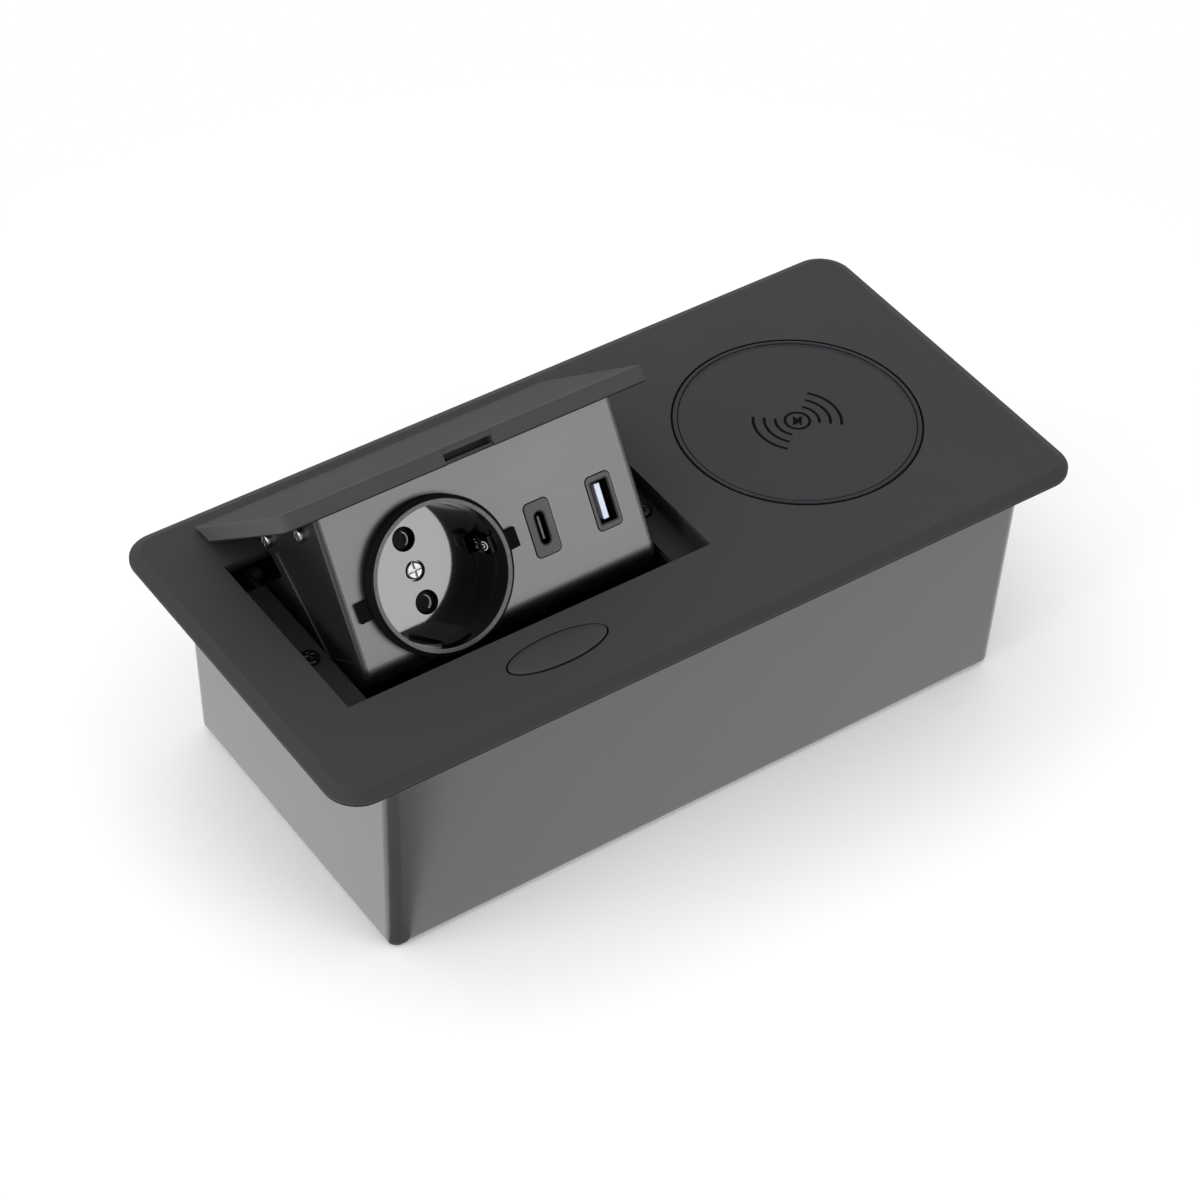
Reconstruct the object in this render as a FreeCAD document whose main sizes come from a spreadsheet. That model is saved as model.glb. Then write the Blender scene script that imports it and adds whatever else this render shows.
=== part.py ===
import FreeCAD, Part
import math
import os
import re

import Sketcher
from FreeCAD import Placement, Rotation, Vector

# In-desk power module, modelled raised, as it stands in use. Millimetres.
# +X runs along the desk cut-out towards the charging pad, -Y is the side of the release button and
# +Z is up. The origin is the centre of the box's underside, under the centre of the plate.
# Pieces of the folding module are drawn folded down and swung up about the pivot by open_angle.

os.makedirs("parts", exist_ok=True)

doc = FreeCAD.newDocument("desk_power_module")
sheet = doc.addObject("Spreadsheet::Sheet", "sizes")

# Driving sizes, in millimetres and degrees
SIZES = {
    # Frame plate
    "end_overhang": 16.6,
    "plate_depth": 121.0,
    "plate_thick": 3.0,
    "plate_corner": 10.0,
    "rim_width": 3.2,
    "rim_drop": 1.9,
    "rib_depth": 4.0,
    "rib_thick": 1.6,
    "fit_gap": 0.3,
    "rim_seat": 0.4,
    # Box
    "total_height": 75.0,
    "box_depth": 109.3,
    "box_draft": 1.5,
    "box_wall": 2.2,
    "box_floor": 2.5,
    "box_corner": 3.5,
    "box_edge": 3.0,
    "post_radius": 4.0,
    "pilot_depth": 12.0,
    "partition_thick": 2.0,
    # Bay that the module folds into; its length sets the box's and the plate's
    "bay_length": 118.5,
    "bay_end_gap": 1.6,
    "pad_bay_gap": 15.5,
    "pad_end_gap": 1.8,
    "bay_y": 3.3,
    "bay_depth": 65.2,
    "ledge_drop": 6.3,
    "ledge_width": 9.0,
    "ledge_thick": 2.0,
    "ledge_rear_gap": 6.4,
    "ledge_screw_back": 5.7,
    "skirt_thick": 1.2,
    # Pivot
    "pivot_y": 45.24,
    "pivot_drop": 25.77,
    "open_angle": 40.0,
    "shaft_radius": 2.0,
    "shaft_gap": 0.06,
    "shaft_overrun": 2.0,
    "hub_radius": 5.0,
    "bracket_thick": 1.5,
    "bracket_front": -9.0,
    "bracket_tab": 8.0,
    "bracket_drop": 34.0,
    # Lid
    "lid_gap": 0.6,
    "lid_side_gap": 0.8,
    "lid_thick": 4.8,
    "lid_corner": 2.5,
    "lid_round": 0.5,
    "sweep_gap": 0.4,
    "lid_overhang": 4.7,
    "slot_length": 15.3,
    "slot_depth": 4.2,
    "slot_skin": 1.7,
    "striker_thick": 1.1,
    "striker_end": 2.0,
    "ear_thick": 3.0,
    # Module behind the panel
    "module_side_gap": 11.35,
    "cheek_thick": 2.0,
    "cheek_border": 1.5,
    "cheek_top": 40.9,
    "waist_y": 36.1,
    "waist_drop": 14.8,
    "shoulder_y": 41.8,
    "shoulder_drop": 16.7,
    "panel_tilt": 97.0,
    "panel_thick": 0.8,
    "front_wall": 2.0,
    "shell_height": 50.0,
    "shell_foot": 36.0,
    "panel_bend": 6.0,
    "panel_tail": 8.0,
    "cover_thick": 1.6,
    "cover_gap": 0.4,
    "field_depth": 0.4,
    "field_front": 3.4,
    "field_top": 8.0,
    # Screws
    "screw_radius": 1.5,
    "screw_hole": 1.6,
    "head_radius": 2.8,
    "head_high": 1.7,
    "ledge_head_high": 1.2,
    "small_screw": 1.2,
    "small_head": 2.3,
    "small_head_high": 1.5,
    # Round socket
    "socket_inset": 29.45,
    "socket_drop": 27.4,
    "socket_turn": 2.7,
    "well_radius": 19.9,
    "well_depth": 17.3,
    "rim_radius": 21.2,
    "rim_high": 4.05,
    "collar_radius": 22.2,
    "collar_high": 2.9,
    "well_floor": 2.6,
    "pin_pitch": 19.0,
    "pin_hole": 2.9,
    "body_radius": 20.8,
    "rib_reach": 1.7,
    "rib_width": 8.6,
    "lug_reach": 25.9,
    "lug_width": 5.65,
    "lug_high": 1.3,
    "clip_width": 5.0,
    "back_radius": 15.0,
    "back_depth": 17.9,
    # USB ports
    "bezel_width": 7.8,
    "bezel_height": 15.6,
    "bezel_corner": 1.4,
    "bezel_proud": 0.25,
    "port_drop": 27.2,
    "port_inset": 11.5,
    "port_pitch": 20.45,
    "usb_board_width": 38.0,
    "usb_board_height": 34.0,
    "slot_c_width": 3.1,
    "slot_c_height": 9.5,
    "slot_a_width": 5.4,
    "slot_a_height": 12.1,
    "port_depth": 12.0,
    "port_skin": 0.35,
    # Charging pad
    "ring_radius": 36.5,
    "ring_width": 2.2,
    "pad_seat": 2.2,
    "shelf_thick": 1.8,
    "pad_well": 31.0,
    "cup_wall": 1.8,
    "cup_depth": 9.0,
    "cup_floor": 1.5,
    "coil_outer": 22.0,
    "coil_inner": 10.0,
    "coil_thick": 2.0,
    "ferrite_thick": 1.2,
    "board_thick": 1.6,
    "pad_screw_ring": 33.8,
    # Button and catch
    "button_offset": -0.25,
    "button_y": -41.1,
    "button_long": 15.7,
    "button_short": 5.3,
    "button_gap": 0.35,
    "button_proud": 0.3,
    "button_dome": 0.5,
    "button_skirt": 0.7,
    "button_travel": 2.0,
    "leg_pitch": 18.0,
    "leg_width": 3.0,
    "leg_thick": 2.2,
    "leg_lean": 1.0,
    "catch_thick": 1.2,
    "catch_width": 24.0,
    "nose_width": 14.0,
    "nose_reach": 2.4,
    "guide_gap": 0.3,
    "guide_floor": 1.5,
    "guide_rail": 2.0,
    "spring_wire": 0.25,
    "spring_radius": 2.5,
    "spring_cup": 3.3,
    # Cable entry and supply
    "outlet_offset": 15.1,
    "outlet_z": 18.0,
    "outlet_bore": 4.2,
    "grommet_neck": 6.0,
    "grommet_flange": 8.5,
    "grommet_lip": 2.4,
    "grommet_nose": 2.0,
    "supply_length": 64.0,
    "supply_depth": 50.0,
    "supply_height": 15.0,
    "supply_offset": 4.9,
    "rail_height": 4.0,
    "rail_thick": 2.0,
    "terminal_pitch": 8.0,
    "terminal_depth": 13.0,
    "terminal_height": 14.0,
    "terminal_gap": 11.45,
    # Lift spring
    "lift_wire": 0.6,
    "lift_width": 9.0,
}

# Places worked out from the driving sizes, as text for the expressions
PLACES = {
    "box_inner_length": "bay_end_gap + bay_length + pad_bay_gap + 2 * ring_radius + pad_end_gap",
    "box_length": "box_inner_length + 2 * box_wall",
    "plate_length": "box_length + 2 * end_overhang",
    "bay_x": "bay_end_gap + bay_length / 2 - box_inner_length / 2",
    "pad_x": "box_inner_length / 2 - pad_end_gap - ring_radius",
    "plate_under": "total_height - plate_thick",
    "rim_top": "plate_under + rim_seat",
    "bay_left": "bay_x - bay_length / 2",
    "bay_right": "bay_x + bay_length / 2",
    "bay_front": "bay_y - bay_depth / 2",
    "bay_rear": "bay_y + bay_depth / 2",
    "ledge_top": "total_height - ledge_drop",
    "ledge_under": "ledge_top - ledge_thick",
    "ledge_rear": "bay_rear - ledge_rear_gap",
    "pivot_z": "total_height - pivot_drop",
    "lid_front": "bay_front + lid_gap",
    "lid_rear": "bay_rear",
    "lid_under": "total_height - lid_thick",
    "lid_width": "bay_length - 2 * lid_side_gap",
    "rim_sweep": "sqrt(pow(pivot_y - bay_rear; 2) + pow(pivot_drop; 2)) + sweep_gap",
    "panel_y": "lid_front + lid_overhang",
    "panel_z": "lid_under",
    "module_width": "bay_length - 2 * module_side_gap",
    "socket_x": "socket_inset - module_width / 2",
    "port_a_x": "module_width / 2 - port_inset",
    "port_c_x": "port_a_x - port_pitch",
    "button_x": "bay_x + button_offset",
    "outlet_x": "pad_x + outlet_offset",
    "supply_x": "pad_x - supply_offset",
    "module_left": "bay_x - module_width / 2",
    "module_right": "bay_x + module_width / 2",
    "inner_width": "module_width - 2 * cheek_thick",
    "face_width": "module_width - 2 * cheek_border",
    "tray_z": "total_height - cup_depth",
    "box_inner_depth": "box_depth - 2 * box_wall",
    "post_top": "ledge_under - bracket_thick",
    "pad_post_top": "tray_z - cup_floor",
    "ledge_screw_inset": "ledge_width * 0.46",
    "ledge_screw_y": "bay_y - ledge_screw_back",
    "well_floor_z": "rim_high - well_depth",
    "well_back_z": "well_floor_z - well_floor",
    "main_top": "plate_under - guide_gap - 0.1",
    "main_under": "main_top - catch_thick",
    "nose_top": "total_height - lid_thick + striker_thick + guide_gap + catch_thick",
    "nose_under": "nose_top - catch_thick",
    "nose_tip": "bay_front + nose_reach",
    "guide_top": "main_under - guide_gap",
    "guide_under": "guide_top - guide_floor",
    "catch_middle": "(main_top + main_under) / 2",
    "step_rear": "button_y + button_short + 2.4",
    "wall_outer": "box_depth / 2 - (rim_top - outlet_z) * tan(box_draft)",
    "spring_seat": "guide_under - 6.8",
}


def tied(expression):
    """The expression with every place written out and every size naming its cell."""
    text = str(expression)
    place = r"\b(" + "|".join(PLACES) + r")\b"
    while re.search(place, text):
        text = re.sub(place, lambda word: "(" + PLACES[word.group(0)] + ")", text)
    return re.sub(r"\b(" + "|".join(SIZES) + r")\b", r"sizes.\1", text)


def number(expression):
    """The value of an expression, for shapes that are made by code."""
    return float(sheet.evalExpression(tied(expression)))


def fill_sheet():
    for row, (name, size) in enumerate(SIZES.items(), 1):
        sheet.set(f"A{row}", name)
        sheet.set(f"B{row}", str(size))
        sheet.setAlias(f"B{row}", name)
    doc.recompute()


def bind(thing, **expressions):
    """Tie properties to expressions; a double underscore in a name stands for a dot."""
    for name, expression in expressions.items():
        thing.setExpression(name.replace("__", "."), tied(expression))


def add(kind, name):
    thing = doc.addObject(kind, name)
    thing.Label = name
    return thing


def block(name, x, y, z):
    """A box between two places along each axis, each given as a pair of expressions."""
    thing = add("Part::Box", name)
    bind(
        thing,
        Length=f"({x[1]}) - ({x[0]})",
        Width=f"({y[1]}) - ({y[0]})",
        Height=f"({z[1]}) - ({z[0]})",
        Placement__Base__x=x[0],
        Placement__Base__y=y[0],
        Placement__Base__z=z[0],
    )
    return thing


TURNS = {"z": Rotation(), "x": Rotation(Vector(0, 1, 0), 90), "y": Rotation(Vector(1, 0, 0), -90)}


def rod(name, at, radius, length, axis="z"):
    """A cylinder that starts at a place and runs along an axis."""
    thing = add("Part::Cylinder", name)
    thing.Placement = Placement(Vector(), TURNS[axis])
    bind(
        thing,
        Radius=radius,
        Height=length,
        Placement__Base__x=at[0],
        Placement__Base__y=at[1],
        Placement__Base__z=at[2],
    )
    return thing


def cone(name, at, radius_low, radius_high, length):
    thing = add("Part::Cone", name)
    bind(
        thing,
        Radius1=radius_low,
        Radius2=radius_high,
        Height=length,
        Placement__Base__x=at[0],
        Placement__Base__y=at[1],
        Placement__Base__z=at[2],
    )
    return thing


def fuse(name, parts):
    thing = add("Part::MultiFuse", name)
    thing.Shapes = parts
    return thing


def cut(name, base, tools):
    """The base less every tool, taken away together."""
    thing = add("Part::Cut", name)
    thing.Base = base
    thing.Tool = tools[0] if len(tools) == 1 else fuse(name + "_tools", tools)
    return thing


def group(name, parts):
    """Separate like solids kept as one sub-part."""
    thing = add("Part::Compound", name)
    thing.Links = parts
    return thing


def new_sketch(body, name, role, offset="0"):
    plane = [feature for feature in body.Origin.OriginFeatures if feature.Role == role][0]
    sketch = body.newObject("Sketcher::SketchObject", name)
    sketch.AttachmentSupport = [(plane, "")]
    sketch.MapMode = "FlatFace"
    bind(sketch, AttachmentOffset__Base__z=offset)
    return sketch


def outline(sketch, points):
    """Straight edges through the points, each held by its two distances from the origin."""
    places = [Vector(number(across), number(up), 0) for across, up in points]
    first = sketch.GeometryCount
    count = len(points)
    for index in range(count):
        sketch.addGeometry(Part.LineSegment(places[index], places[(index + 1) % count]), False)
    for index, (across, up) in enumerate(points):
        edge = first + index
        following = first + (index + 1) % count
        sketch.addConstraint(Sketcher.Constraint("Coincident", edge, 2, following, 1))
        held = sketch.addConstraint(Sketcher.Constraint("DistanceX", -1, 1, edge, 1, places[index].x))
        sketch.setExpression(f"Constraints[{held}]", tied(across))
        held = sketch.addConstraint(Sketcher.Constraint("DistanceY", -1, 1, edge, 1, places[index].y))
        sketch.setExpression(f"Constraints[{held}]", tied(up))


def circle(sketch, across, up, radius):
    index = sketch.addGeometry(
        Part.Circle(Vector(number(across), number(up), 0), Vector(0, 0, 1), number(radius)), False
    )
    for kind, size in (("DistanceX", across), ("DistanceY", up)):
        held = sketch.addConstraint(Sketcher.Constraint(kind, -1, 1, index, 3, number(size)))
        sketch.setExpression(f"Constraints[{held}]", tied(size))
    held = sketch.addConstraint(Sketcher.Constraint("Radius", index, number(radius)))
    sketch.setExpression(f"Constraints[{held}]", tied(radius))


def rectangle(x, y):
    return [(x[0], y[0]), (x[1], y[0]), (x[1], y[1]), (x[0], y[1])]


def padded(name, role, points, start, length):
    """A body with one sketch, padded from a place along the plane's normal."""
    body = add("PartDesign::Body", name)
    sketch = new_sketch(body, name + "_outline", role, start)
    outline(sketch, points)
    pad = body.newObject("PartDesign::Pad", name + "_pad")
    pad.Profile = sketch
    bind(pad, Length=length)
    sketch.Visibility = False
    doc.recompute()
    return body


def profile_along_x(name, points, middle, width):
    """A (Y, Z) profile padded along X, half of its width to each side of the middle."""
    return padded(name, "YZ_Plane", points, f"({middle}) - ({width}) / 2", width)


def edge_names(shape, wanted):
    return [f"Edge{index}" for index, edge in enumerate(shape.Edges, 1) if wanted(edge)]


def is_upright(edge):
    box = edge.BoundBox
    return box.ZLength > 1.0 and box.ZLength > 5 * max(box.XLength, box.YLength)


def lies_at(edge, height):
    return abs(edge.BoundBox.ZMin - height) < 0.01 and abs(edge.BoundBox.ZMax - height) < 0.01


def dress(body, kind, wanted, **expressions):
    """A fillet or chamfer on the edges of the body's tip that the test picks."""
    base = body.Tip
    feature = body.newObject("PartDesign::" + kind, f"{body.Name}_{kind.lower()}")
    feature.Base = (base, edge_names(base.Shape, wanted))
    if "Size2" in expressions:
        feature.ChamferType = "Two distances"
    bind(feature, **expressions)
    doc.recompute()
    return feature


def tip_up(thing):
    """Swing a piece that is drawn folded down about the pivot into its raised place."""
    y = tied("pivot_y - pivot_y * cos(open_angle) - (pivot_z) * sin(open_angle)")
    z = tied("pivot_z + pivot_y * sin(open_angle) - (pivot_z) * cos(open_angle)")
    lean = tied("rotation(vector(1; 0; 0); -open_angle)")
    thing.setExpression("Placement", f"placement(vector(0; {y}; {z}); {lean})")
    return thing


def set_on_panel(thing, across="0", down="0", raised=True, turn="0"):
    """Place a piece drawn with X across, Y up and Z out of the panel onto the panel's face."""
    tilt = "(panel_tilt - open_angle)" if raised else "panel_tilt"
    y = "(panel_y)"
    z = "(panel_z)"
    if raised:
        y = "(pivot_y + (panel_y - pivot_y) * cos(open_angle) + (panel_z - pivot_z) * sin(open_angle))"
        z = "(pivot_z - (panel_y - pivot_y) * sin(open_angle) + (panel_z - pivot_z) * cos(open_angle))"
    place = f"bay_x + ({across}); {y} - ({down}) * cos({tilt}); {z} - ({down}) * sin({tilt})"
    spin = f"rotation(vector(1; 0; 0); {tilt}) * rotation(vector(0; 0; 1); {turn})"
    thing.setExpression("Placement", tied(f"placement(vector({place}); {spin})"))
    return thing


def panel_point(down, inward):
    """A (Y, Z) place on the folded panel: so far down its face and so far behind it."""
    return (
        f"panel_y - ({down}) * cos(panel_tilt) + ({inward}) * sin(panel_tilt)",
        f"panel_z - ({down}) * sin(panel_tilt) - ({inward}) * cos(panel_tilt)",
    )


def ledge_screw_places():
    return (
        ("bay_left + ledge_screw_inset", "ledge_screw_y"),
        ("bay_right - ledge_screw_inset", "ledge_screw_y"),
    )


def pad_screw_places():
    return (("pad_x", "pad_screw_ring"), ("pad_x", "-pad_screw_ring"))


def latch_screw_places():
    return (("button_x - catch_width * 0.8", "button_y"), ("button_x + catch_width * 0.8", "button_y"))


def oval(name, long_radius, short_radius, z):
    """An upright elliptical prism about the button's centre."""
    curve = add("Part::Ellipse", name + "_curve")
    bind(
        curve,
        MajorRadius=long_radius,
        MinorRadius=short_radius,
        Placement__Base__x="button_x",
        Placement__Base__y="button_y",
        Placement__Base__z=z[0],
    )
    prism = add("Part::Extrusion", name)
    prism.Base = curve
    prism.Dir = Vector(0, 0, 1)
    prism.Solid = True
    bind(prism, LengthFwd=f"({z[1]}) - ({z[0]})")
    return prism


def flange():
    """The flat of the frame plate: rounded corners, sloping rim, bay and the seat of the pad."""
    half = ("-plate_length / 2", "plate_length / 2")
    side = ("-plate_depth / 2", "plate_depth / 2")
    body = padded("flange", "XY_Plane", rectangle(half, side), "plate_under", "plate_thick")
    dress(body, "Fillet", is_upright, Radius="plate_corner")
    top = number("total_height")
    dress(body, "Chamfer", lambda edge: lies_at(edge, top), Size="rim_drop", Size2="rim_width")
    bay = new_sketch(body, "bay_outline", "XY_Plane", "total_height")
    outline(bay, rectangle(("bay_left", "bay_right"), ("bay_front", "bay_rear")))
    opening = body.newObject("PartDesign::Pocket", "bay_pocket")
    opening.Profile = bay
    opening.Type = "ThroughAll"
    doc.recompute()
    seat = new_sketch(body, "seat_outline", "XY_Plane", "total_height")
    circle(seat, "pad_x", "0", "ring_radius")
    recess = body.newObject("PartDesign::Pocket", "seat_pocket")
    recess.Profile = seat
    bind(recess, Length="pad_seat")
    doc.recompute()
    return body


def rounded(name, plain, radius):
    """A block with its upright edges rounded."""
    doc.recompute()
    smooth = add("Part::Fillet", name)
    smooth.Base = plain
    size = number(radius)
    edges = enumerate(plain.Shape.Edges, 1)
    smooth.Edges = [(index, size, size) for index, edge in edges if is_upright(edge)]
    return smooth


def rim_groove():
    """The shallow groove under the plate that the box's rim stands in."""
    outer_x = "(box_length / 2 + fit_gap)"
    outer_y = "(box_depth / 2 + fit_gap)"
    inner_x = "(box_inner_length / 2 - fit_gap)"
    inner_y = "(box_inner_depth / 2 - fit_gap)"
    outer = block(
        "groove_outside",
        (f"-{outer_x}", outer_x),
        (f"-{outer_y}", outer_y),
        ("plate_under - 1", "rim_top"),
    )
    inner = block(
        "groove_inside",
        (f"-{inner_x}", inner_x),
        (f"-{inner_y}", inner_y),
        ("plate_under - 2", "rim_top + 1"),
    )
    ring = rounded("groove_outside_rounded", outer, "box_corner + fit_gap")
    return cut("rim_groove", ring, [rounded("groove_inside_rounded", inner, "box_corner")])


def locating_rib():
    """The rib under the plate that sits just inside the box."""
    reach_x = "(box_inner_length / 2 - fit_gap)"
    reach_y = "(box_inner_depth / 2 - fit_gap)"
    outer = block(
        "rib_outer",
        (f"-{reach_x}", reach_x),
        (f"-{reach_y}", reach_y),
        ("plate_under - rib_depth", "plate_under"),
    )
    inner = block(
        "rib_inner",
        (f"-{reach_x} + rib_thick", f"{reach_x} - rib_thick"),
        (f"-{reach_y} + rib_thick", f"{reach_y} - rib_thick"),
        ("plate_under - rib_depth - 1", "plate_under"),
    )
    return cut("locating_rib", rounded("rib_rounded", outer, "box_corner"), [inner])


def bay_walls():
    """Side walls of the bay and the ledge on each side of it."""
    low = "ledge_under"
    walls = [
        block(
            "front_skirt",
            ("bay_left - skirt_thick", "bay_right + skirt_thick"),
            ("bay_front - skirt_thick", "bay_front"),
            (low, "plate_under"),
        )
    ]
    sides = (
        ("left", "bay_left - skirt_thick", "bay_left", "bay_left", "bay_left + ledge_width"),
        ("right", "bay_right", "bay_right + skirt_thick", "bay_right - ledge_width", "bay_right"),
    )
    for side, wall_low, wall_high, ledge_low, ledge_high in sides:
        walls.append(
            block(side + "_skirt", (wall_low, wall_high), ("bay_front", "bay_rear"), (low, "plate_under"))
        )
        walls.append(
            block(side + "_ledge", (ledge_low, ledge_high), ("bay_front", "ledge_rear"), (low, "ledge_top"))
        )
    return walls


def pad_cup():
    """The shelf under the charging pad, the cup that holds its coil and two screw bosses."""
    shelf = rod(
        "pad_shelf",
        ("pad_x", "0", "total_height - pad_seat - shelf_thick"),
        "ring_radius + pad_end_gap * 0.7",
        "shelf_thick + pad_seat - plate_thick",
    )
    cup = rod(
        "pad_cup_wall",
        ("pad_x", "0", "tray_z - cup_floor"),
        "pad_well + cup_wall",
        "cup_depth + cup_floor - plate_thick",
    )
    bosses = [
        rod(
            f"pad_boss_{index}",
            (x, y, "pad_post_top"),
            "post_radius",
            "plate_under - pad_post_top",
        )
        for index, (x, y) in enumerate(pad_screw_places())
    ]
    return [shelf, cup] + bosses


def top_plate():
    whole = fuse("plate_whole", [flange(), locating_rib()] + bay_walls() + pad_cup())
    tools = [
        rim_groove(),
        rod("pad_well_cut", ("pad_x", "0", "tray_z"), "pad_well", "cup_depth + 1"),
        rod("pad_wire_hole", ("pad_x + coil_outer + 3", "0", "tray_z - cup_floor - 1"), "3", "cup_floor + 2"),
        oval(
            "button_hole",
            "button_long + button_gap",
            "button_short + button_gap",
            ("plate_under - 1", "total_height + 1"),
        ),
        block(
            "nose_channel",
            ("button_x - nose_width / 2 - guide_gap", "button_x + nose_width / 2 + guide_gap"),
            ("button_y + 4.6", "bay_front + 1"),
            ("nose_under - guide_gap", "nose_top + guide_gap"),
        ),
    ]
    for index, (x, y) in enumerate(ledge_screw_places()):
        tools.append(rod(f"ledge_hole_{index}", (x, y, "ledge_under - 1"), "screw_hole", "ledge_thick + 2"))
    for index, (x, y) in enumerate(pad_screw_places()):
        hole = ("pad_post_top - 1", "total_height - pad_post_top + 1")
        tools.append(rod(f"pad_hole_{index}", (x, y, hole[0]), "screw_hole", hole[1]))
        tools.append(
            rod(
                f"pad_head_{index}",
                (x, y, "total_height - pad_seat - head_high - fit_gap"),
                "head_radius + fit_gap",
                "head_high + fit_gap",
            )
        )
    for index, (x, y) in enumerate(latch_screw_places()):
        tools.append(
            rod(f"latch_hole_{index}", (x, y, "plate_under - 1"), "small_screw", "1 + plate_thick * 0.65")
        )
    return cut("top_plate", whole, tools)


def drafted(name, inset, floor):
    """A block whose four sides lean inward on the way down from the plate."""
    body = add("PartDesign::Body", name)
    sketch = new_sketch(body, name + "_outline", "XY_Plane", "rim_top")
    outline(
        sketch,
        rectangle(
            (f"-box_length / 2 + {inset}", f"box_length / 2 - {inset}"),
            (f"-box_depth / 2 + {inset}", f"box_depth / 2 - {inset}"),
        ),
    )
    pad = body.newObject("PartDesign::Pad", name + "_pad")
    pad.Profile = sketch
    pad.Reversed = True
    bind(pad, Length=f"rim_top - {floor}", TaperAngle="-box_draft")
    doc.recompute()
    return body


def post_places():
    """(X, Y, top) of each screw post: two under the ledges and two under the charging cup."""
    ledge = [(x, y, "post_top") for x, y in ledge_screw_places()]
    return ledge + [(x, y, "pad_post_top") for x, y in pad_screw_places()]


def rail_places():
    """Middles of the two rails under the supply board, each a little inside its end."""
    reach = "(supply_length / 2 - 1.5 * rail_thick)"
    return (f"supply_x - {reach}", f"supply_x + {reach}")


def box_housing():
    """The drafted tub with its screw posts, cross wall and cable hole."""
    outer = drafted("box_outer", "0", "0")
    dress(outer, "Fillet", is_upright, Radius="box_corner")
    dress(outer, "Fillet", lambda edge: lies_at(edge, 0.0), Radius="box_edge")
    inner = drafted("box_inner", "box_wall", "box_floor")
    dress(inner, "Fillet", is_upright, Radius="box_corner - box_wall * 0.6")
    shell = cut("box_shell", outer, [inner])
    posts = []
    for index, (x, y, top) in enumerate(post_places()):
        posts.append(rod(f"post_{index}", (x, y, "box_floor / 2"), "post_radius", f"{top} - box_floor / 2"))
    stiffener = block(
        "left_post_rib",
        ("-box_inner_length / 2", "bay_left + ledge_screw_inset"),
        ("ledge_screw_y - 1", "ledge_screw_y + 1"),
        ("box_floor - 0.5", "post_top - 2"),
    )
    partition = block(
        "partition",
        (
            "bay_right - ledge_screw_inset - partition_thick / 2",
            "bay_right - ledge_screw_inset + partition_thick / 2",
        ),
        ("-box_inner_depth / 2", "box_inner_depth / 2"),
        ("box_floor - 0.5", "post_top - 2"),
    )
    rails = []
    for index, middle in enumerate(rail_places()):
        rails.append(
            block(
                f"board_rail_{index}",
                (f"{middle} - rail_thick / 2", f"{middle} + rail_thick / 2"),
                ("-supply_depth / 2 - 1", "supply_depth / 2 + 1"),
                ("box_floor - 0.5", "box_floor + rail_height"),
            )
        )
    joined = fuse("box_joined", [shell, stiffener, partition] + rails + posts)
    tools = [
        rod(f"pilot_{index}", (x, y, f"{top} - pilot_depth"), "small_screw", "pilot_depth + 1")
        for index, (x, y, top) in enumerate(post_places())
    ]
    outlet = ("outlet_x", "box_inner_depth / 2 - 6", "outlet_z")
    tools.append(rod("cable_hole", outlet, "grommet_neck + 0.1", "12", "y"))
    tools.append(
        block(
            "wire_notch",
            ("bay_right - ledge_screw_inset - 4", "bay_right - ledge_screw_inset + 4"),
            ("box_depth / 8", "box_depth / 3.2"),
            ("box_floor", "box_floor + rail_height * 3"),
        )
    )
    return cut("box_housing", joined, tools)


def pan_head_screw(name, at, radius, head_radius, head_high, length, turn="z_up"):
    """A pan-head screw with a cross recess, its head's seat at the place given."""
    shank = rod(name + "_shank", ("0", "0", f"-({length})"), f"{radius} - 0.05", length)
    head = rod(name + "_head", ("0", "0", "0"), head_radius, head_high)
    reach = f"{head_radius} * 0.55"
    depth = (f"{head_high} * 0.45", f"{head_high} + 1")
    arms = [
        block(name + "_slot_a", (f"-{reach}", reach), ("-0.3", "0.3"), depth),
        block(name + "_slot_b", ("-0.3", "0.3"), (f"-{reach}", reach), depth),
    ]
    doc.recompute()
    rounded = add("Part::Fillet", name + "_pan")
    rounded.Base = head
    top = number(head_high)
    round_off = number(f"{head_high} * 0.5")
    rounded.Edges = [
        (index, round_off, round_off) for index, edge in enumerate(head.Shape.Edges, 1) if lies_at(edge, top)
    ]
    screw = cut(name, fuse(name + "_blank", [shank, rounded]), arms)
    screw.Placement = Placement(Vector(), HEADS[turn])
    bind(screw, Placement__Base__x=at[0], Placement__Base__y=at[1], Placement__Base__z=at[2])
    return screw


HEADS = {
    "z_up": Rotation(),
    "z_down": Rotation(Vector(1, 0, 0), 180),
    "to_left": Rotation(Vector(0, 1, 0), -90),
    "to_right": Rotation(Vector(0, 1, 0), 90),
}


def ledge_screws():
    return group(
        "ledge_screws",
        [
            pan_head_screw(
                f"ledge_screw_{index}",
                (x, y, "ledge_top"),
                "small_screw",
                "head_radius",
                "ledge_head_high",
                "ledge_thick + bracket_thick + 8",
            )
            for index, (x, y) in enumerate(ledge_screw_places())
        ],
    )


def cover_screws():
    return group(
        "cover_screws",
        [
            pan_head_screw(
                f"cover_screw_{index}",
                (x, y, "total_height - pad_seat - head_high - fit_gap"),
                "small_screw",
                "head_radius",
                "head_high",
                "ledge_drop + 4",
            )
            for index, (x, y) in enumerate(pad_screw_places())
        ],
    )


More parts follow.
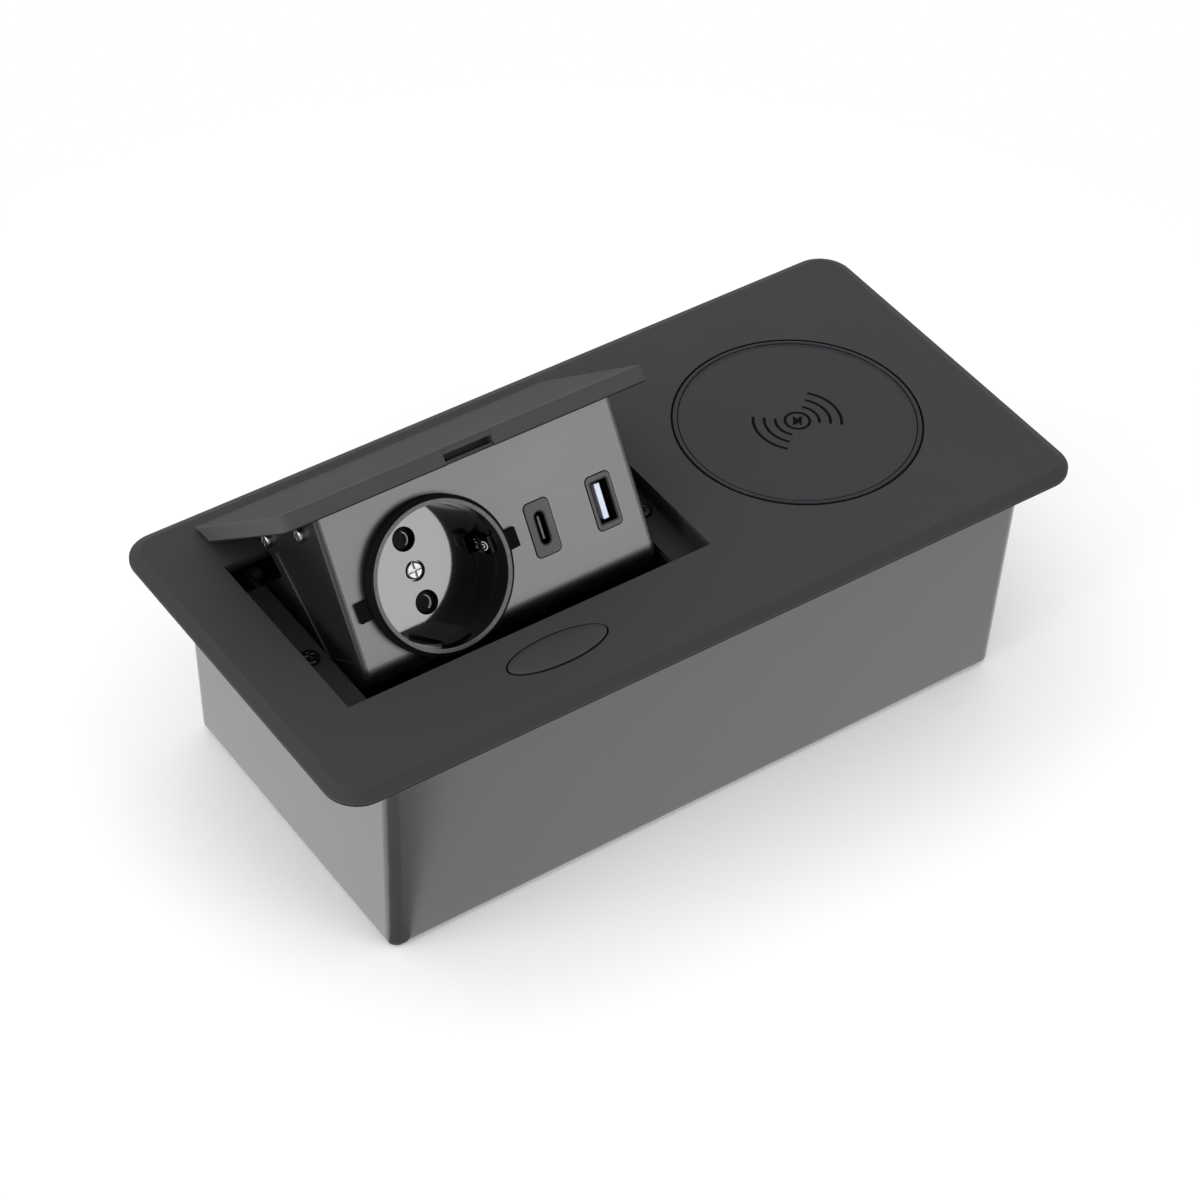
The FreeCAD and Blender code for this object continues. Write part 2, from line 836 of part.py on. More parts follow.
def pivot_bracket(side):
    """Bent sheet bracket: a tab clamped under the ledge and a web that carries the shaft."""
    if side == "left":
        web = ("bay_left + ledge_width - bracket_thick", "bay_left + ledge_width")
        tab = ("bay_left + ledge_width - bracket_tab", "bay_left + ledge_width - bracket_thick / 2")
        screw_x = "bay_left + ledge_screw_inset"
    else:
        web = ("bay_right - ledge_width", "bay_right - ledge_width + bracket_thick")
        tab = ("bay_right - ledge_width + bracket_thick / 2", "bay_right - ledge_width + bracket_tab")
        screw_x = "bay_right - ledge_screw_inset"
    name = f"pivot_bracket_{side}"
    web_front = "ledge_screw_y + post_radius + 1.2"
    profile = [
        (web_front, "ledge_under"),
        (web_front, "ledge_under - 8"),
        ("pivot_y - 14", "total_height - bracket_drop"),
        ("pivot_y + 3", "total_height - bracket_drop"),
        ("pivot_y + hub_radius", "total_height - bracket_drop + 4"),
        ("pivot_y + hub_radius", "ledge_under - 3"),
        ("pivot_y + hub_radius - 3", "ledge_under"),
    ]
    plate = padded(name + "_web", "YZ_Plane", profile, web[0], "bracket_thick")
    flap = block(
        name + "_tab",
        tab,
        ("bracket_front", "ledge_rear - 2"),
        ("ledge_under - bracket_thick", "ledge_under"),
    )
    blank = fuse(name + "_blank", [plate, flap])
    return cut(
        name,
        blank,
        [
            rod(
                name + "_bore",
                (f"{web[0]} - 1", "pivot_y", "pivot_z"),
                "shaft_radius + shaft_gap / 2",
                "bracket_thick + 2",
                "x",
            ),
            rod(
                name + "_hole",
                (screw_x, "ledge_screw_y", "ledge_under - bracket_thick - 1"),
                "screw_hole",
                "bracket_thick + 2",
            ),
        ],
    )


def pivot_shaft():
    length = "bay_length - 2 * ledge_width + 2 * bracket_thick + 2 * shaft_overrun"
    shaft = rod(
        "pivot_shaft_bar",
        ("bay_left + ledge_width - bracket_thick - shaft_overrun", "pivot_y", "pivot_z"),
        "shaft_radius",
        length,
        "x",
    )
    grooves = []
    for index, (low, high) in enumerate(clip_spans()):
        place = (low, "pivot_y", "pivot_z")
        ring = rod(f"groove_outer_{index}", place, "shaft_radius + 1", f"({high}) - ({low})", "x")
        core = rod(f"groove_core_{index}", place, "shaft_radius * 0.75", f"({high}) - ({low})", "x")
        grooves.append(cut(f"groove_{index}", ring, [core]))
    return cut("pivot_shaft", shaft, grooves)


def clip_spans():
    """Where the two retaining clips sit along the shaft, just outside the brackets."""
    return (
        ("bay_left + ledge_width - bracket_thick - 1.1", "bay_left + ledge_width - bracket_thick - 0.3"),
        ("bay_right - ledge_width + bracket_thick + 0.3", "bay_right - ledge_width + bracket_thick + 1.1"),
    )


def shaft_clips():
    clips = []
    for index, (low, high) in enumerate(clip_spans()):
        inset_low = f"{low} + 0.1"
        width = f"({high}) - ({low}) - 0.2"
        disc = rod(f"clip_disc_{index}", (inset_low, "pivot_y", "pivot_z"), "shaft_radius * 2.1", width, "x")
        bore = rod(f"clip_bore_{index}", (low, "pivot_y", "pivot_z"), "shaft_radius * 0.75 + 0.05", "1", "x")
        mouth = block(
            f"clip_mouth_{index}",
            (low, high),
            ("pivot_y - shaft_radius * 0.6", "pivot_y + shaft_radius * 0.6"),
            ("pivot_z - shaft_radius * 3", "pivot_z"),
        )
        clips.append(cut(f"shaft_clip_{index}", disc, [bore, mouth]))
    return group("shaft_clips", clips)


def stop_buffers():
    """Rubber pegs on the brackets that the raised pivot arms come to rest against."""
    reach = "14"
    radius = "2"
    offset = f"(hub_radius + fit_gap + {radius})"
    y = f"pivot_y - {reach} * cos(open_angle) + {offset} * sin(open_angle)"
    z = f"pivot_z + {reach} * sin(open_angle) + {offset} * cos(open_angle)"
    length = "(bay_length / 2 - ledge_width - module_width / 2 + cheek_thick * 0.6)"
    return group(
        "stop_buffers",
        [
            rod("stop_buffer_left", ("bay_left + ledge_width", y, z), radius, length, "x"),
            rod("stop_buffer_right", (f"bay_right - ledge_width - {length}", y, z), radius, length, "x"),
        ],
    )


def charger_ring():
    """Stepped trim ring round the charging pad, with a small notch in its face."""
    seat = "total_height - pad_seat"
    outer = rod("ring_outer", ("pad_x", "0", seat), "ring_radius - 0.1", "pad_seat - 0.05")
    inner = rod("ring_inner", ("pad_x", "0", f"{seat} - 1"), "ring_radius - ring_width", "pad_seat + 2")
    notch = block(
        "ring_notch",
        ("pad_x + ring_radius - ring_width - 1", "pad_x + ring_radius + 1"),
        ("5.2", "6.4"),
        ("total_height - 0.5", "total_height + 1"),
    )
    return cut("charger_ring", outer, [inner, notch])


def charger_cover():
    """Round pad cover with a skirt that stands on the shelf."""
    seat = "total_height - pad_seat"
    disc = rod("cover_disc", ("pad_x", "0", seat), "ring_radius - ring_width - 0.15", "pad_seat - 0.1")
    hollow = rod("cover_hollow", ("pad_x", "0", f"{seat} - 1"), "pad_well - 1", "1 + pad_seat * 0.4")
    return cut("charger_cover", disc, [hollow])


def charger_stack():
    """Board, ferrite and coil, stacked on the floor of the cup."""
    board_low = "tray_z"
    ferrite_low = "tray_z + board_thick"
    coil_low = "tray_z + board_thick + ferrite_thick"
    board = cut(
        "charger_board",
        rod("board_disc", ("pad_x", "0", board_low), "pad_well - 1.5", "board_thick"),
        [rod("board_wire_hole", ("pad_x + coil_outer + 3", "0", "tray_z - 1"), "2.6", "board_thick + 2")],
    )
    ferrite = rod("charger_ferrite", ("pad_x", "0", ferrite_low), "coil_outer + 1.5", "ferrite_thick")
    coil_ring = rod("coil_ring", ("pad_x", "0", coil_low), "coil_outer", "coil_thick")
    coil_hole = rod("coil_hole", ("pad_x", "0", f"{coil_low} - 1"), "coil_inner", "coil_thick + 2")
    grooves = []
    turns = 5
    for turn in range(1, turns):
        middle = f"(coil_inner + (coil_outer - coil_inner) * {turn} / {turns})"
        place = ("pad_x", "0", f"{coil_low} + coil_thick * 0.7")
        wide = rod(f"turn_outer_{turn}", place, f"{middle} + 0.25", "coil_thick")
        core = rod(f"turn_core_{turn}", place, f"{middle} - 0.25", "coil_thick")
        grooves.append(cut(f"turn_groove_{turn}", wide, [core]))
    coil = cut("charger_coil", coil_ring, [coil_hole] + grooves)
    return [board, ferrite, coil]


LEG_SIDES = (-1, 1)


def button():
    """Elliptical cap with a low dome and two slanted legs that draw the catch back."""
    low = "total_height - button_skirt"
    cap = oval("button_cap", "button_long", "button_short", (low, "total_height + button_proud"))
    dome = add("Part::Ellipsoid", "button_crown")
    bind(
        dome,
        Radius1="button_dome",
        Radius2="button_long - 0.3",
        Radius3="button_short - 0.3",
        Placement__Base__x="button_x",
        Placement__Base__y="button_y",
        Placement__Base__z="total_height + button_proud",
    )
    pieces = [cap, dome]
    foot_top = "guide_under - guide_gap"
    foot_low = "guide_under - guide_gap - 1.4"
    for side in LEG_SIDES:
        middle = f"button_x + ({side}) * leg_pitch / 2"
        name = f"button_leg_{'left' if side < 0 else 'right'}"
        pieces.append(profile_along_x(name, leg_profile(f"{low} + 0.2", foot_low), middle, "leg_width"))
        foot = leg_profile(foot_top, foot_low)
        pieces.append(profile_along_x(name + "_foot", foot, middle, "leg_width + 1.4"))
    return fuse("button", pieces)


def leg_profile(high, low):
    """A slice of a slanted leg between two heights: it leans back by as much as it rises."""
    points = []
    for z, side in ((high, -1), (high, 1), (low, 1), (low, -1)):
        points.append((f"button_y + leg_lean - (({z}) - catch_middle) + ({side}) * leg_thick / 2", z))
    return points


def catch_plate():
    """Bent sheet catch: its nose runs in the plate's channel and its windows ride on the legs."""
    profile = [
        ("nose_tip", "nose_under"),
        ("nose_tip", "nose_under + catch_thick * 0.3"),
        ("nose_tip - catch_thick * 0.7", "nose_top"),
        ("step_rear", "nose_top"),
        ("step_rear", "main_top"),
        ("button_y - 6", "main_top"),
        ("button_y - 6", "main_under"),
        ("step_rear + catch_thick", "main_under"),
        ("step_rear + catch_thick", "nose_under"),
    ]
    sheet_metal = profile_along_x("catch_sheet", profile, "button_x", "catch_width")
    sides = (
        ("left", "button_x - catch_width / 2 - 1", "button_x - nose_width / 2"),
        ("right", "button_x + nose_width / 2", "button_x + catch_width / 2 + 1"),
    )
    tools = []
    for side, low, high in sides:
        tools.append(
            block(
                f"nose_trim_{side}",
                (low, high),
                ("step_rear - 0.4", "nose_tip + 1"),
                ("main_under - 1", "nose_top + 1"),
            )
        )
    half = "((leg_thick + catch_thick) / 2 + guide_gap * 1.45)"
    for side in LEG_SIDES:
        middle = f"button_x + ({side}) * leg_pitch / 2"
        tools.append(
            block(
                f"leg_window_{'left' if side < 0 else 'right'}",
                (f"{middle} - leg_width / 2 - guide_gap", f"{middle} + leg_width / 2 + guide_gap"),
                (f"button_y + leg_lean - {half}", f"button_y + leg_lean + {half}"),
                ("main_under - 1", "main_top + 1"),
            )
        )
    tools.append(
        block(
            "spring_window",
            ("button_x - spring_cup", "button_x + spring_cup"),
            ("button_y - spring_cup", "button_y + spring_cup + button_travel"),
            ("main_under - 1", "main_top + 1"),
        )
    )
    return cut("catch_plate", sheet_metal, tools)


def latch_frame():
    """Moulded guide under the plate: rails, a floor with windows, the spring's cup and two ears."""
    inside = "(catch_width / 2 + guide_gap)"
    outside = "(catch_width / 2 + guide_gap + guide_rail)"
    span = ("button_y - 7.5", "bay_front - skirt_thick - 2")
    left = (f"button_x - {outside}", f"button_x - {inside}")
    right = (f"button_x + {inside}", f"button_x + {outside}")
    height = ("guide_under", "plate_under")
    pieces = [
        block("guide_floor_plate", (left[0], right[1]), span, ("guide_under", "guide_top")),
        block("guide_rail_left", left, span, height),
        block("guide_rail_right", right, span, height),
        rod("guide_cup", ("button_x", "button_y", "spring_seat - 1.2"), "spring_cup + 1.2", "8.5"),
    ]
    for index, (x, y) in enumerate(latch_screw_places()):
        x_span = (f"{x} - 4", left[1])
        if index == 1:
            x_span = (right[0], f"{x} + 4")
        ear_z = ("plate_under - 2.4", "plate_under")
        pieces.append(block(f"guide_ear_{index}", x_span, (f"{y} - 4", f"{y} + 4"), ear_z))
    tools = [rod("cup_bore", ("button_x", "button_y", "spring_seat"), "spring_cup", "12")]
    slack = "(guide_gap * 1.5 + leg_thick / 2)"
    leg_y = "button_y + leg_lean"
    for side in LEG_SIDES:
        middle = f"button_x + ({side}) * leg_pitch / 2"
        tools.append(
            block(
                f"guide_window_{'left' if side < 0 else 'right'}",
                (f"{middle} - leg_width / 2 - guide_gap", f"{middle} + leg_width / 2 + guide_gap"),
                (
                    f"{leg_y} - (guide_top - catch_middle) - button_travel - {slack}",
                    f"{leg_y} - (guide_under - catch_middle) + {slack}",
                ),
                ("guide_under - 1", "guide_top + 1"),
            )
        )
    for index, (x, y) in enumerate(latch_screw_places()):
        tools.append(rod(f"ear_hole_{index}", (x, y, "plate_under - 4"), "small_screw + 0.1", "5"))
    return cut("latch_frame", fuse("latch_frame_blank", pieces), tools)


def latch_screws():
    return group(
        "latch_screws",
        [
            pan_head_screw(
                f"latch_screw_{index}",
                (x, y, "plate_under - 2.4"),
                "small_screw",
                "small_head",
                "small_head_high",
                "2.4 + plate_thick * 0.6",
                "z_down",
            )
            for index, (x, y) in enumerate(latch_screw_places())
        ],
    )


WIRE_SIDES = 8


def wire_coil(radius, wire, height, turns):
    """A coil of eight-sided wire about Z between two heights of zero and height."""
    climb = height - 2 * wire
    helix = Part.makeHelix(climb / turns, climb, radius)
    corners = []
    for index in range(WIRE_SIDES + 1):
        angle = 2 * math.pi * (index + 0.5) / WIRE_SIDES
        corners.append(Vector(radius + wire * math.cos(angle), 0, wire * math.sin(angle)))
    section = Part.Wire(Part.makePolygon(corners))
    coil = Part.Wire(helix.Edges).makePipeShell([section], True, True)
    coil.translate(Vector(0, 0, wire))
    return coil


def button_spring():
    low = number("spring_seat")
    high = number("total_height - button_skirt - fit_gap")
    spring = add("Part::Feature", "button_spring")
    wire = number("spring_wire")
    spring.Shape = wire_coil(number("spring_radius"), wire, high - low - 2 * wire, 7)
    lifted = low + wire
    spring.Placement = Placement(Vector(number("button_x"), number("button_y"), lifted), Rotation())
    return spring


def lift_spring():
    """Torsion spring on the shaft inside the left arm, its leg lying along the module's back."""
    wire = number("lift_wire")
    radius = number("shaft_radius + lift_wire + 0.5")
    width = number("lift_width")
    coil = wire_coil(radius, wire, width, 6)
    coil.rotate(Vector(), Vector(0, 1, 0), 90)
    reach = number("pivot_y - (panel_y + shoulder_y) - 1")
    leg = Part.makeCylinder(wire, reach, Vector(width - wire, 0, radius), Vector(0, -1, 0))
    foot = Part.makeCylinder(wire, 1.5, Vector(wire, 0, -radius), Vector(0, 1, 0))
    spring = add("Part::Feature", "lift_spring")
    spring.Shape = coil.fuse([leg, foot])
    at = Vector(number("module_left + cheek_thick + 2"), number("pivot_y"), number("pivot_z"))
    about = Rotation(Vector(1, 0, 0), -number("open_angle"))
    spring.Placement = Placement(at, about)
    return spring


def lid():
    """Thick lid plate, drawn folded down: catch slot, ears, and a rear edge scooped about the pivot."""
    slab = profile_along_x(
        "lid_slab",
        rectangle(("lid_front", "lid_rear"), ("lid_under", "total_height")),
        "bay_x",
        "lid_width",
    )
    front = number("lid_front")
    middle = number("bay_y")
    top = number("total_height")

    def is_front_corner(edge):
        return is_upright(edge) and edge.BoundBox.YMax < front + 1

    def is_top_rim(edge):
        return lies_at(edge, top) and edge.BoundBox.YMin < middle

    dress(slab, "Fillet", is_front_corner, Radius="lid_corner")
    dress(slab, "Fillet", is_top_rim, Radius="lid_round")
    pieces = [slab]
    for side in (-1, 1):
        for index, (y, z) in enumerate(lid_screw_places()):
            outer = f"bay_x + ({side}) * (inner_width / 2 - 0.05)"
            inner = f"bay_x + ({side}) * (inner_width / 2 - ear_thick)"
            x_span = (outer, inner) if side < 0 else (inner, outer)
            name = f"lid_ear_{'left' if side < 0 else 'right'}_{index}"
            pieces.append(block(name, x_span, (f"{y} - 3.5", f"{y} + 3.5"), (f"{z} - 3.5", "lid_under + 1")))
    slot = ("button_x - slot_length / 2", "button_x + slot_length / 2")
    slot_depth = ("lid_front - 1", "lid_front + slot_depth")
    scoop_at = ("bay_x - lid_width / 2 - 1", "pivot_y", "pivot_z")
    tools = [
        rod("lid_scoop", scoop_at, "rim_sweep", "lid_width + 2", "x"),
        block("catch_slot", slot, slot_depth, ("lid_under - 1", "total_height - slot_skin")),
        block(
            "slot_face",
            (slot[0] + " - 0.1", slot[1] + " + 0.1"),
            ("lid_front - 1", "lid_front + 0.25"),
            ("lid_under + 1", "total_height - 0.3"),
        ),
        block(
            "striker_seat",
            (slot[0] + " - striker_end", slot[1] + " + striker_end"),
            ("lid_front + 0.3", "lid_front + slot_depth"),
            ("lid_under - 1", "lid_under + striker_thick"),
        ),
    ]
    for side in (-1, 1):
        for index, (y, z) in enumerate(lid_screw_places()):
            low = "bay_x - inner_width / 2 - 1" if side < 0 else "bay_x + inner_width / 2 - ear_thick - 1"
            name = f"lid_thread_{'left' if side < 0 else 'right'}_{index}"
            tools.append(rod(name, (low, y, z), "small_screw", "ear_thick + 2", "x"))
    return tip_up(cut("lid", fuse("lid_whole", pieces), tools))


def lid_screw_places():
    """(Y, Z) of the two screws in each cheek, folded down."""
    return (("panel_y + 11.8", "lid_under - 3.4"), ("panel_y + cheek_top - 5.2", "lid_under - 3.9"))


def lid_striker():
    """Steel strip let into the floor of the catch slot; the catch's nose holds it down."""
    strip = block(
        "striker_strip",
        ("button_x - slot_length / 2 - striker_end + 0.1", "button_x + slot_length / 2 + striker_end - 0.1"),
        ("lid_front + 0.4", "lid_front + slot_depth - 0.1"),
        ("lid_under", "lid_under + striker_thick"),
    )
    bevel = profile_along_x(
        "striker_bevel",
        [
            ("lid_front", "lid_under - 1"),
            ("lid_front + 1.3", "lid_under - 1"),
            ("lid_front + 0.4", "lid_under + 0.4"),
            ("lid_front", "lid_under + 0.4"),
        ],
        "button_x",
        "slot_length + 2 * striker_end + 1",
    )
    return tip_up(cut("lid_striker", strip, [bevel]))


def cheek_outline():
    return [
        ("panel_y", "panel_z"),
        panel_point("shell_height", "0"),
        panel_point("shell_height", "shell_foot"),
        ("panel_y + shoulder_y", "panel_z - shoulder_drop - 4"),
        ("panel_y + shoulder_y", "panel_z - shoulder_drop"),
        ("panel_y + waist_y", "panel_z - waist_drop"),
        ("panel_y + cheek_top", "panel_z"),
    ]


def module_shell():
    """Moulding behind the panel: front wall, floor, two cheeks and the arms that reach the shaft."""
    prism = profile_along_x("shell_prism", cheek_outline(), "bay_x", "module_width")
    foot_y = number(panel_point("shell_height", "0")[0])
    foot_z = number(panel_point("shell_height", "0")[1])

    def is_front_foot(edge):
        box = edge.BoundBox
        return box.XLength > 10 and abs(box.Center.y - foot_y) < 0.1 and abs(box.Center.z - foot_z) < 0.1

    def is_front_side(edge):
        box = edge.BoundBox
        return box.XLength < 0.01 and box.ZLength > 20 and box.YMax < foot_y + 1

    dress(prism, "Fillet", is_front_foot, Radius="panel_bend")
    dress(prism, "Fillet", is_front_side, Radius="cheek_border * 0.8")
    behind = "panel_thick + front_wall"
    hollow = profile_along_x(
        "shell_hollow",
        [
            panel_point("-5", behind),
            panel_point("shell_height - front_wall", behind),
            panel_point("shell_height - front_wall", "shell_foot + 12"),
            ("panel_y + cheek_top + 16", "panel_z + 4"),
        ],
        "bay_x",
        "inner_width",
    )
    sheet_cut = panel_sheet("shell_face_cut", "face_width + 0.1", "panel_tail + 1", "panel_thick + 0.03")
    face = set_on_panel(sheet_cut, raised=False)
    arms = []
    for side, low in (("left", "module_left"), ("right", "module_right - cheek_thick")):
        span = (low, f"{low} + cheek_thick")
        y_span = ("panel_y + waist_y - 4", "pivot_y")
        arms.append(block(f"arm_{side}", span, y_span, ("pivot_z - hub_radius", "pivot_z + hub_radius")))
        arms.append(rod(f"hub_{side}", (low, "pivot_y", "pivot_z"), "hub_radius", "cheek_thick", "x"))
    whole = fuse("shell_whole", [cut("shell_hollowed", prism, [hollow, face])] + arms)
    across = "module_width + 2"
    bores_at = ("module_left - 1", "pivot_y", "pivot_z")
    tools = [rod("hub_bores", bores_at, "shaft_radius + shaft_gap", across, "x")]
    for index, (y, z) in enumerate(lid_screw_places()):
        place = ("module_left - 1", y, z)
        tools.append(rod(f"cheek_holes_{index}", place, "small_screw + 0.15", across, "x"))
    ports = [
        port_block(f"shell_port_{label}", x, "bezel_width + 0.8", "bezel_height + 0.8", ("-20", "20"))
        for label, x in (("c", "port_c_x"), ("a", "port_a_x"))
    ]
    socket_hole = rod("shell_socket_hole", ("socket_x", "-socket_drop", "-20"), "body_radius + 0.4", "40")
    tools.append(set_on_panel(fuse("shell_openings", [socket_hole] + ports), raised=False))
    for side, low in (("left", "module_left - 1"), ("right", "module_right - field_depth")):
        tools.append(padded(f"cheek_field_{side}", "YZ_Plane", field_outline(), low, "1 + field_depth"))
    return tip_up(cut("module_shell", whole, tools))


def field_outline():
    """The sunk field of a cheek: inside a border at the panel, under the lid and along the back."""
    return [
        panel_point("field_top", "field_front"),
        panel_point("shell_height - 8", "field_front"),
        panel_point("shell_height - 8", "shell_foot - 16"),
        ("panel_y + waist_y - 5", "panel_z - waist_drop - 4"),
        ("panel_y + cheek_top - 6.5", "panel_z - field_top"),
    ]


def port_block(name, middle, width, height, z):
    return block(
        name,
        (f"{middle} - ({width}) / 2", f"{middle} + ({width}) / 2"),
        (f"-port_drop - ({height}) / 2", f"-port_drop + ({height}) / 2"),
        z,
    )


def rounded_port(name, middle, width, height, z, radius):
    """A port block whose four long corners are rounded."""
    return rounded(name, port_block(name + "_plain", middle, width, height, z), radius)


def panel_sheet(name, width, tail, thick):
    """The face sheet in the panel's own axes: a flat, a rounded bend and a short tail."""
    profile = [
        ("-0.15", "0"),
        ("-shell_height", "0"),
        ("-shell_height", f"-({tail})"),
        (f"-shell_height + {thick}", f"-({tail})"),
        (f"-shell_height + {thick}", f"-({thick})"),
        ("-0.15", f"-({thick})"),
    ]
    body = profile_along_x(name, profile, "0", width)
    foot = number("-shell_height")
    inner = number(thick)

    def along_x_at(y, z):
        def wanted(edge):
            box = edge.BoundBox
            return box.XLength > 10 and abs(box.Center.y - y) < 0.01 and abs(box.Center.z - z) < 0.01

        return wanted

    dress(body, "Fillet", along_x_at(foot, 0.0), Radius="panel_bend")
    dress(body, "Fillet", along_x_at(foot + inner, -inner), Radius=f"panel_bend - ({thick})")
    return body


def front_panel():
    sheet_metal = panel_sheet("panel_blank", "face_width", "panel_tail", "panel_thick")
    tools = [rod("panel_socket_hole", ("socket_x", "-socket_drop", "-10"), "body_radius + 0.3", "20")]
    for label, x in (("c", "port_c_x"), ("a", "port_a_x")):
        size = ("bezel_width + 0.1", "bezel_height + 0.1")
        tools.append(rounded_port(f"panel_port_{label}", x, size[0], size[1], ("-5", "5"), "bezel_corner"))
    return set_on_panel(cut("front_panel", sheet_metal, tools))


def back_cover():
    """Bent cover across the back of the module, between the cheeks, with cooling slots."""
    outer_y = "panel_y - cover_gap"
    profile = [
        (f"{outer_y} + cheek_top", "panel_z - 0.1"),
        (f"{outer_y} + waist_y", "panel_z - waist_drop + 0.1"),
        (f"{outer_y} + shoulder_y", "panel_z - shoulder_drop - 0.5"),
        (f"{outer_y} + shoulder_y", "panel_z - shoulder_drop - 26.3"),
        (f"{outer_y} + shoulder_y - cover_thick", "panel_z - shoulder_drop - 26.3"),
        (f"{outer_y} + shoulder_y - cover_thick", "panel_z - shoulder_drop - 1.5"),
        (f"{outer_y} + waist_y - 2", "panel_z - waist_drop - 0.9"),
        (f"{outer_y} + cheek_top - cover_thick - 0.1", "panel_z - 0.1"),
    ]
    plate = profile_along_x("cover_plate", profile, "bay_x", "inner_width - 0.4")
    tools = []
    for side in (-1, 1):
        outer = f"bay_x + ({side}) * inner_width / 2"
        inner = f"bay_x + ({side}) * (inner_width / 2 - ear_thick - 0.3)"
        x_span = (outer, inner) if side < 0 else (inner, outer)
        y, z = lid_screw_places()[1]
        name = f"cover_notch_{'left' if side < 0 else 'right'}"
        tools.append(block(name, x_span, (f"{y} - 4", f"{y} + 8"), (f"{z} - 3.9", "panel_z + 1")))
    for index in range(7):
        x = f"bay_x + 12 + {index * 4.5}"
        tools.append(
            block(
                f"cover_slot_{index}",
                (x, f"{x} + 2"),
                ("panel_y + shoulder_y - 4", "panel_y + shoulder_y + 1"),
                ("panel_z - shoulder_drop - 20", "panel_z - shoulder_drop - 6"),
            )
        )
    window = rod("cover_window", ("socket_x", "-socket_drop", "-50"), "back_radius + 0.4", "45")
    tools.append(set_on_panel(group("cover_window_placed", [window]), raised=False))
    return tip_up(cut("back_cover", plate, tools))


def lid_screws():
    screws = []
    for index, (y, z) in enumerate(lid_screw_places()):
        for side, x, turn in (("left", "module_left", "to_left"), ("right", "module_right", "to_right")):
            screws.append(
                pan_head_screw(
                    f"lid_screw_{side}_{index}",
                    (x, y, z),
                    "small_screw",
                    "small_head",
                    "small_head_high",
                    "cheek_thick + ear_thick",
                    turn,
                )
            )
    return tip_up(group("lid_screws", screws))


def on_socket(thing):
    return set_on_panel(thing, "socket_x", "socket_drop", turn="socket_turn")


def socket_insert():
    """The round well: rim, collar, side lugs, guide ribs, pin holes, screw recess and clip slots."""
    outer = [
        rod("socket_collar", ("0", "0", "0"), "collar_radius", "collar_high"),
        cone("socket_shoulder", ("0", "0", "collar_high"), "collar_radius", "rim_radius", "0.6"),
        rod("socket_rim", ("0", "0", "0"), "rim_radius", "rim_high"),
        rod("socket_body", ("0", "0", "well_back_z"), "body_radius", "1 - (well_back_z)"),
        block(
            "socket_lugs",
            ("-lug_reach", "lug_reach"),
            ("-lug_width / 2", "lug_width / 2"),
            ("0", "lug_high"),
        ),
    ]
    wells = [
        rod("well_upper", ("0", "0", "-3"), "well_radius", "rim_high + 4"),
        rod("well_lower", ("0", "0", "well_floor_z"), "well_radius - 0.5", "well_depth"),
    ]
    cup = cut("socket_cup", fuse("socket_blank", outer), wells)
    ribs = []
    tools = []
    for side, name in ((-1, "low"), (1, "high")):
        near = f"({side}) * (well_radius - rib_reach)"
        far = f"({side}) * (well_radius + 0.2)"
        points = [
            (far, "well_floor_z - 0.5"),
            (near, "well_floor_z - 0.5"),
            (near, "-3.2"),
            (far, "-1.6"),
        ]
        ribs.append(profile_along_x(f"guide_rib_{name}", points, "0", "rib_width"))
        hole = ("0", f"({side}) * pin_pitch / 2")
        tools.append(rod(f"pin_hole_{name}", hole + ("well_back_z - 1",), "pin_hole", "well_floor + 2"))
        lead = hole + ("well_floor_z - 0.6",)
        tools.append(cone(f"pin_lead_{name}", lead, "pin_hole", "pin_hole + 0.6", "0.6"))
        outer = f"({side}) * (body_radius + 2)"
        inner = f"({side}) * (well_radius - 3)"
        x_span = (outer, inner) if side < 0 else (inner, outer)
        y_span = ("-clip_width / 2 - 0.3", "clip_width / 2 + 0.3")
        tools.append(block(f"clip_slot_{name}", x_span, y_span, ("well_back_z - 1", "-2.2")))
    tools.append(rod("screw_recess", ("0", "0", "well_floor_z - 1.2"), "3.0", "2"))
    tools.append(rod("screw_passage", ("0", "0", "well_back_z - 1"), "screw_hole", "well_floor + 2"))
    return on_socket(cut("socket_insert", fuse("socket_ribbed", [cup] + ribs), tools))


def socket_back():
    """Rear half of the socket, with closed chambers for the contacts."""
    low = "well_back_z - back_depth"
    barrel = rod("back_barrel", ("0", "0", low), "back_radius", "back_depth")
    tools = [
        rod(f"chamber_{index}", ("0", f"({side}) * pin_pitch / 2", f"{low} + 1.2"), "4.2", "back_depth")
        for index, side in enumerate((-1, 1))
    ]
    tools.append(rod("back_screw_hole", ("0", "0", f"{low} + 9"), "small_screw", "back_depth"))
    return on_socket(cut("socket_back", barrel, tools))


def contact_sleeves():
    """Slotted brass tubes that take the plug's pins."""
    sleeves = []
    low = "well_back_z - back_depth + 1.2"
    for index, side in enumerate((-1, 1)):
        middle = f"({side}) * pin_pitch / 2"
        tube = rod(f"sleeve_tube_{index}", ("0", middle, low), "3.9", "back_depth - 1.5")
        bore = rod(f"sleeve_bore_{index}", ("0", middle, f"{low} + 0.8"), "2.6", "back_depth")
        slit = block(
            f"sleeve_slit_{index}",
            ("-5", "5"),
            (f"{middle} - 0.4", f"{middle} + 0.4"),
            (f"{low} + 3", "well_back_z + 1"),
        )
        sleeves.append(cut(f"contact_sleeve_{index}", tube, [bore, slit]))
    return on_socket(group("contact_sleeves", sleeves))


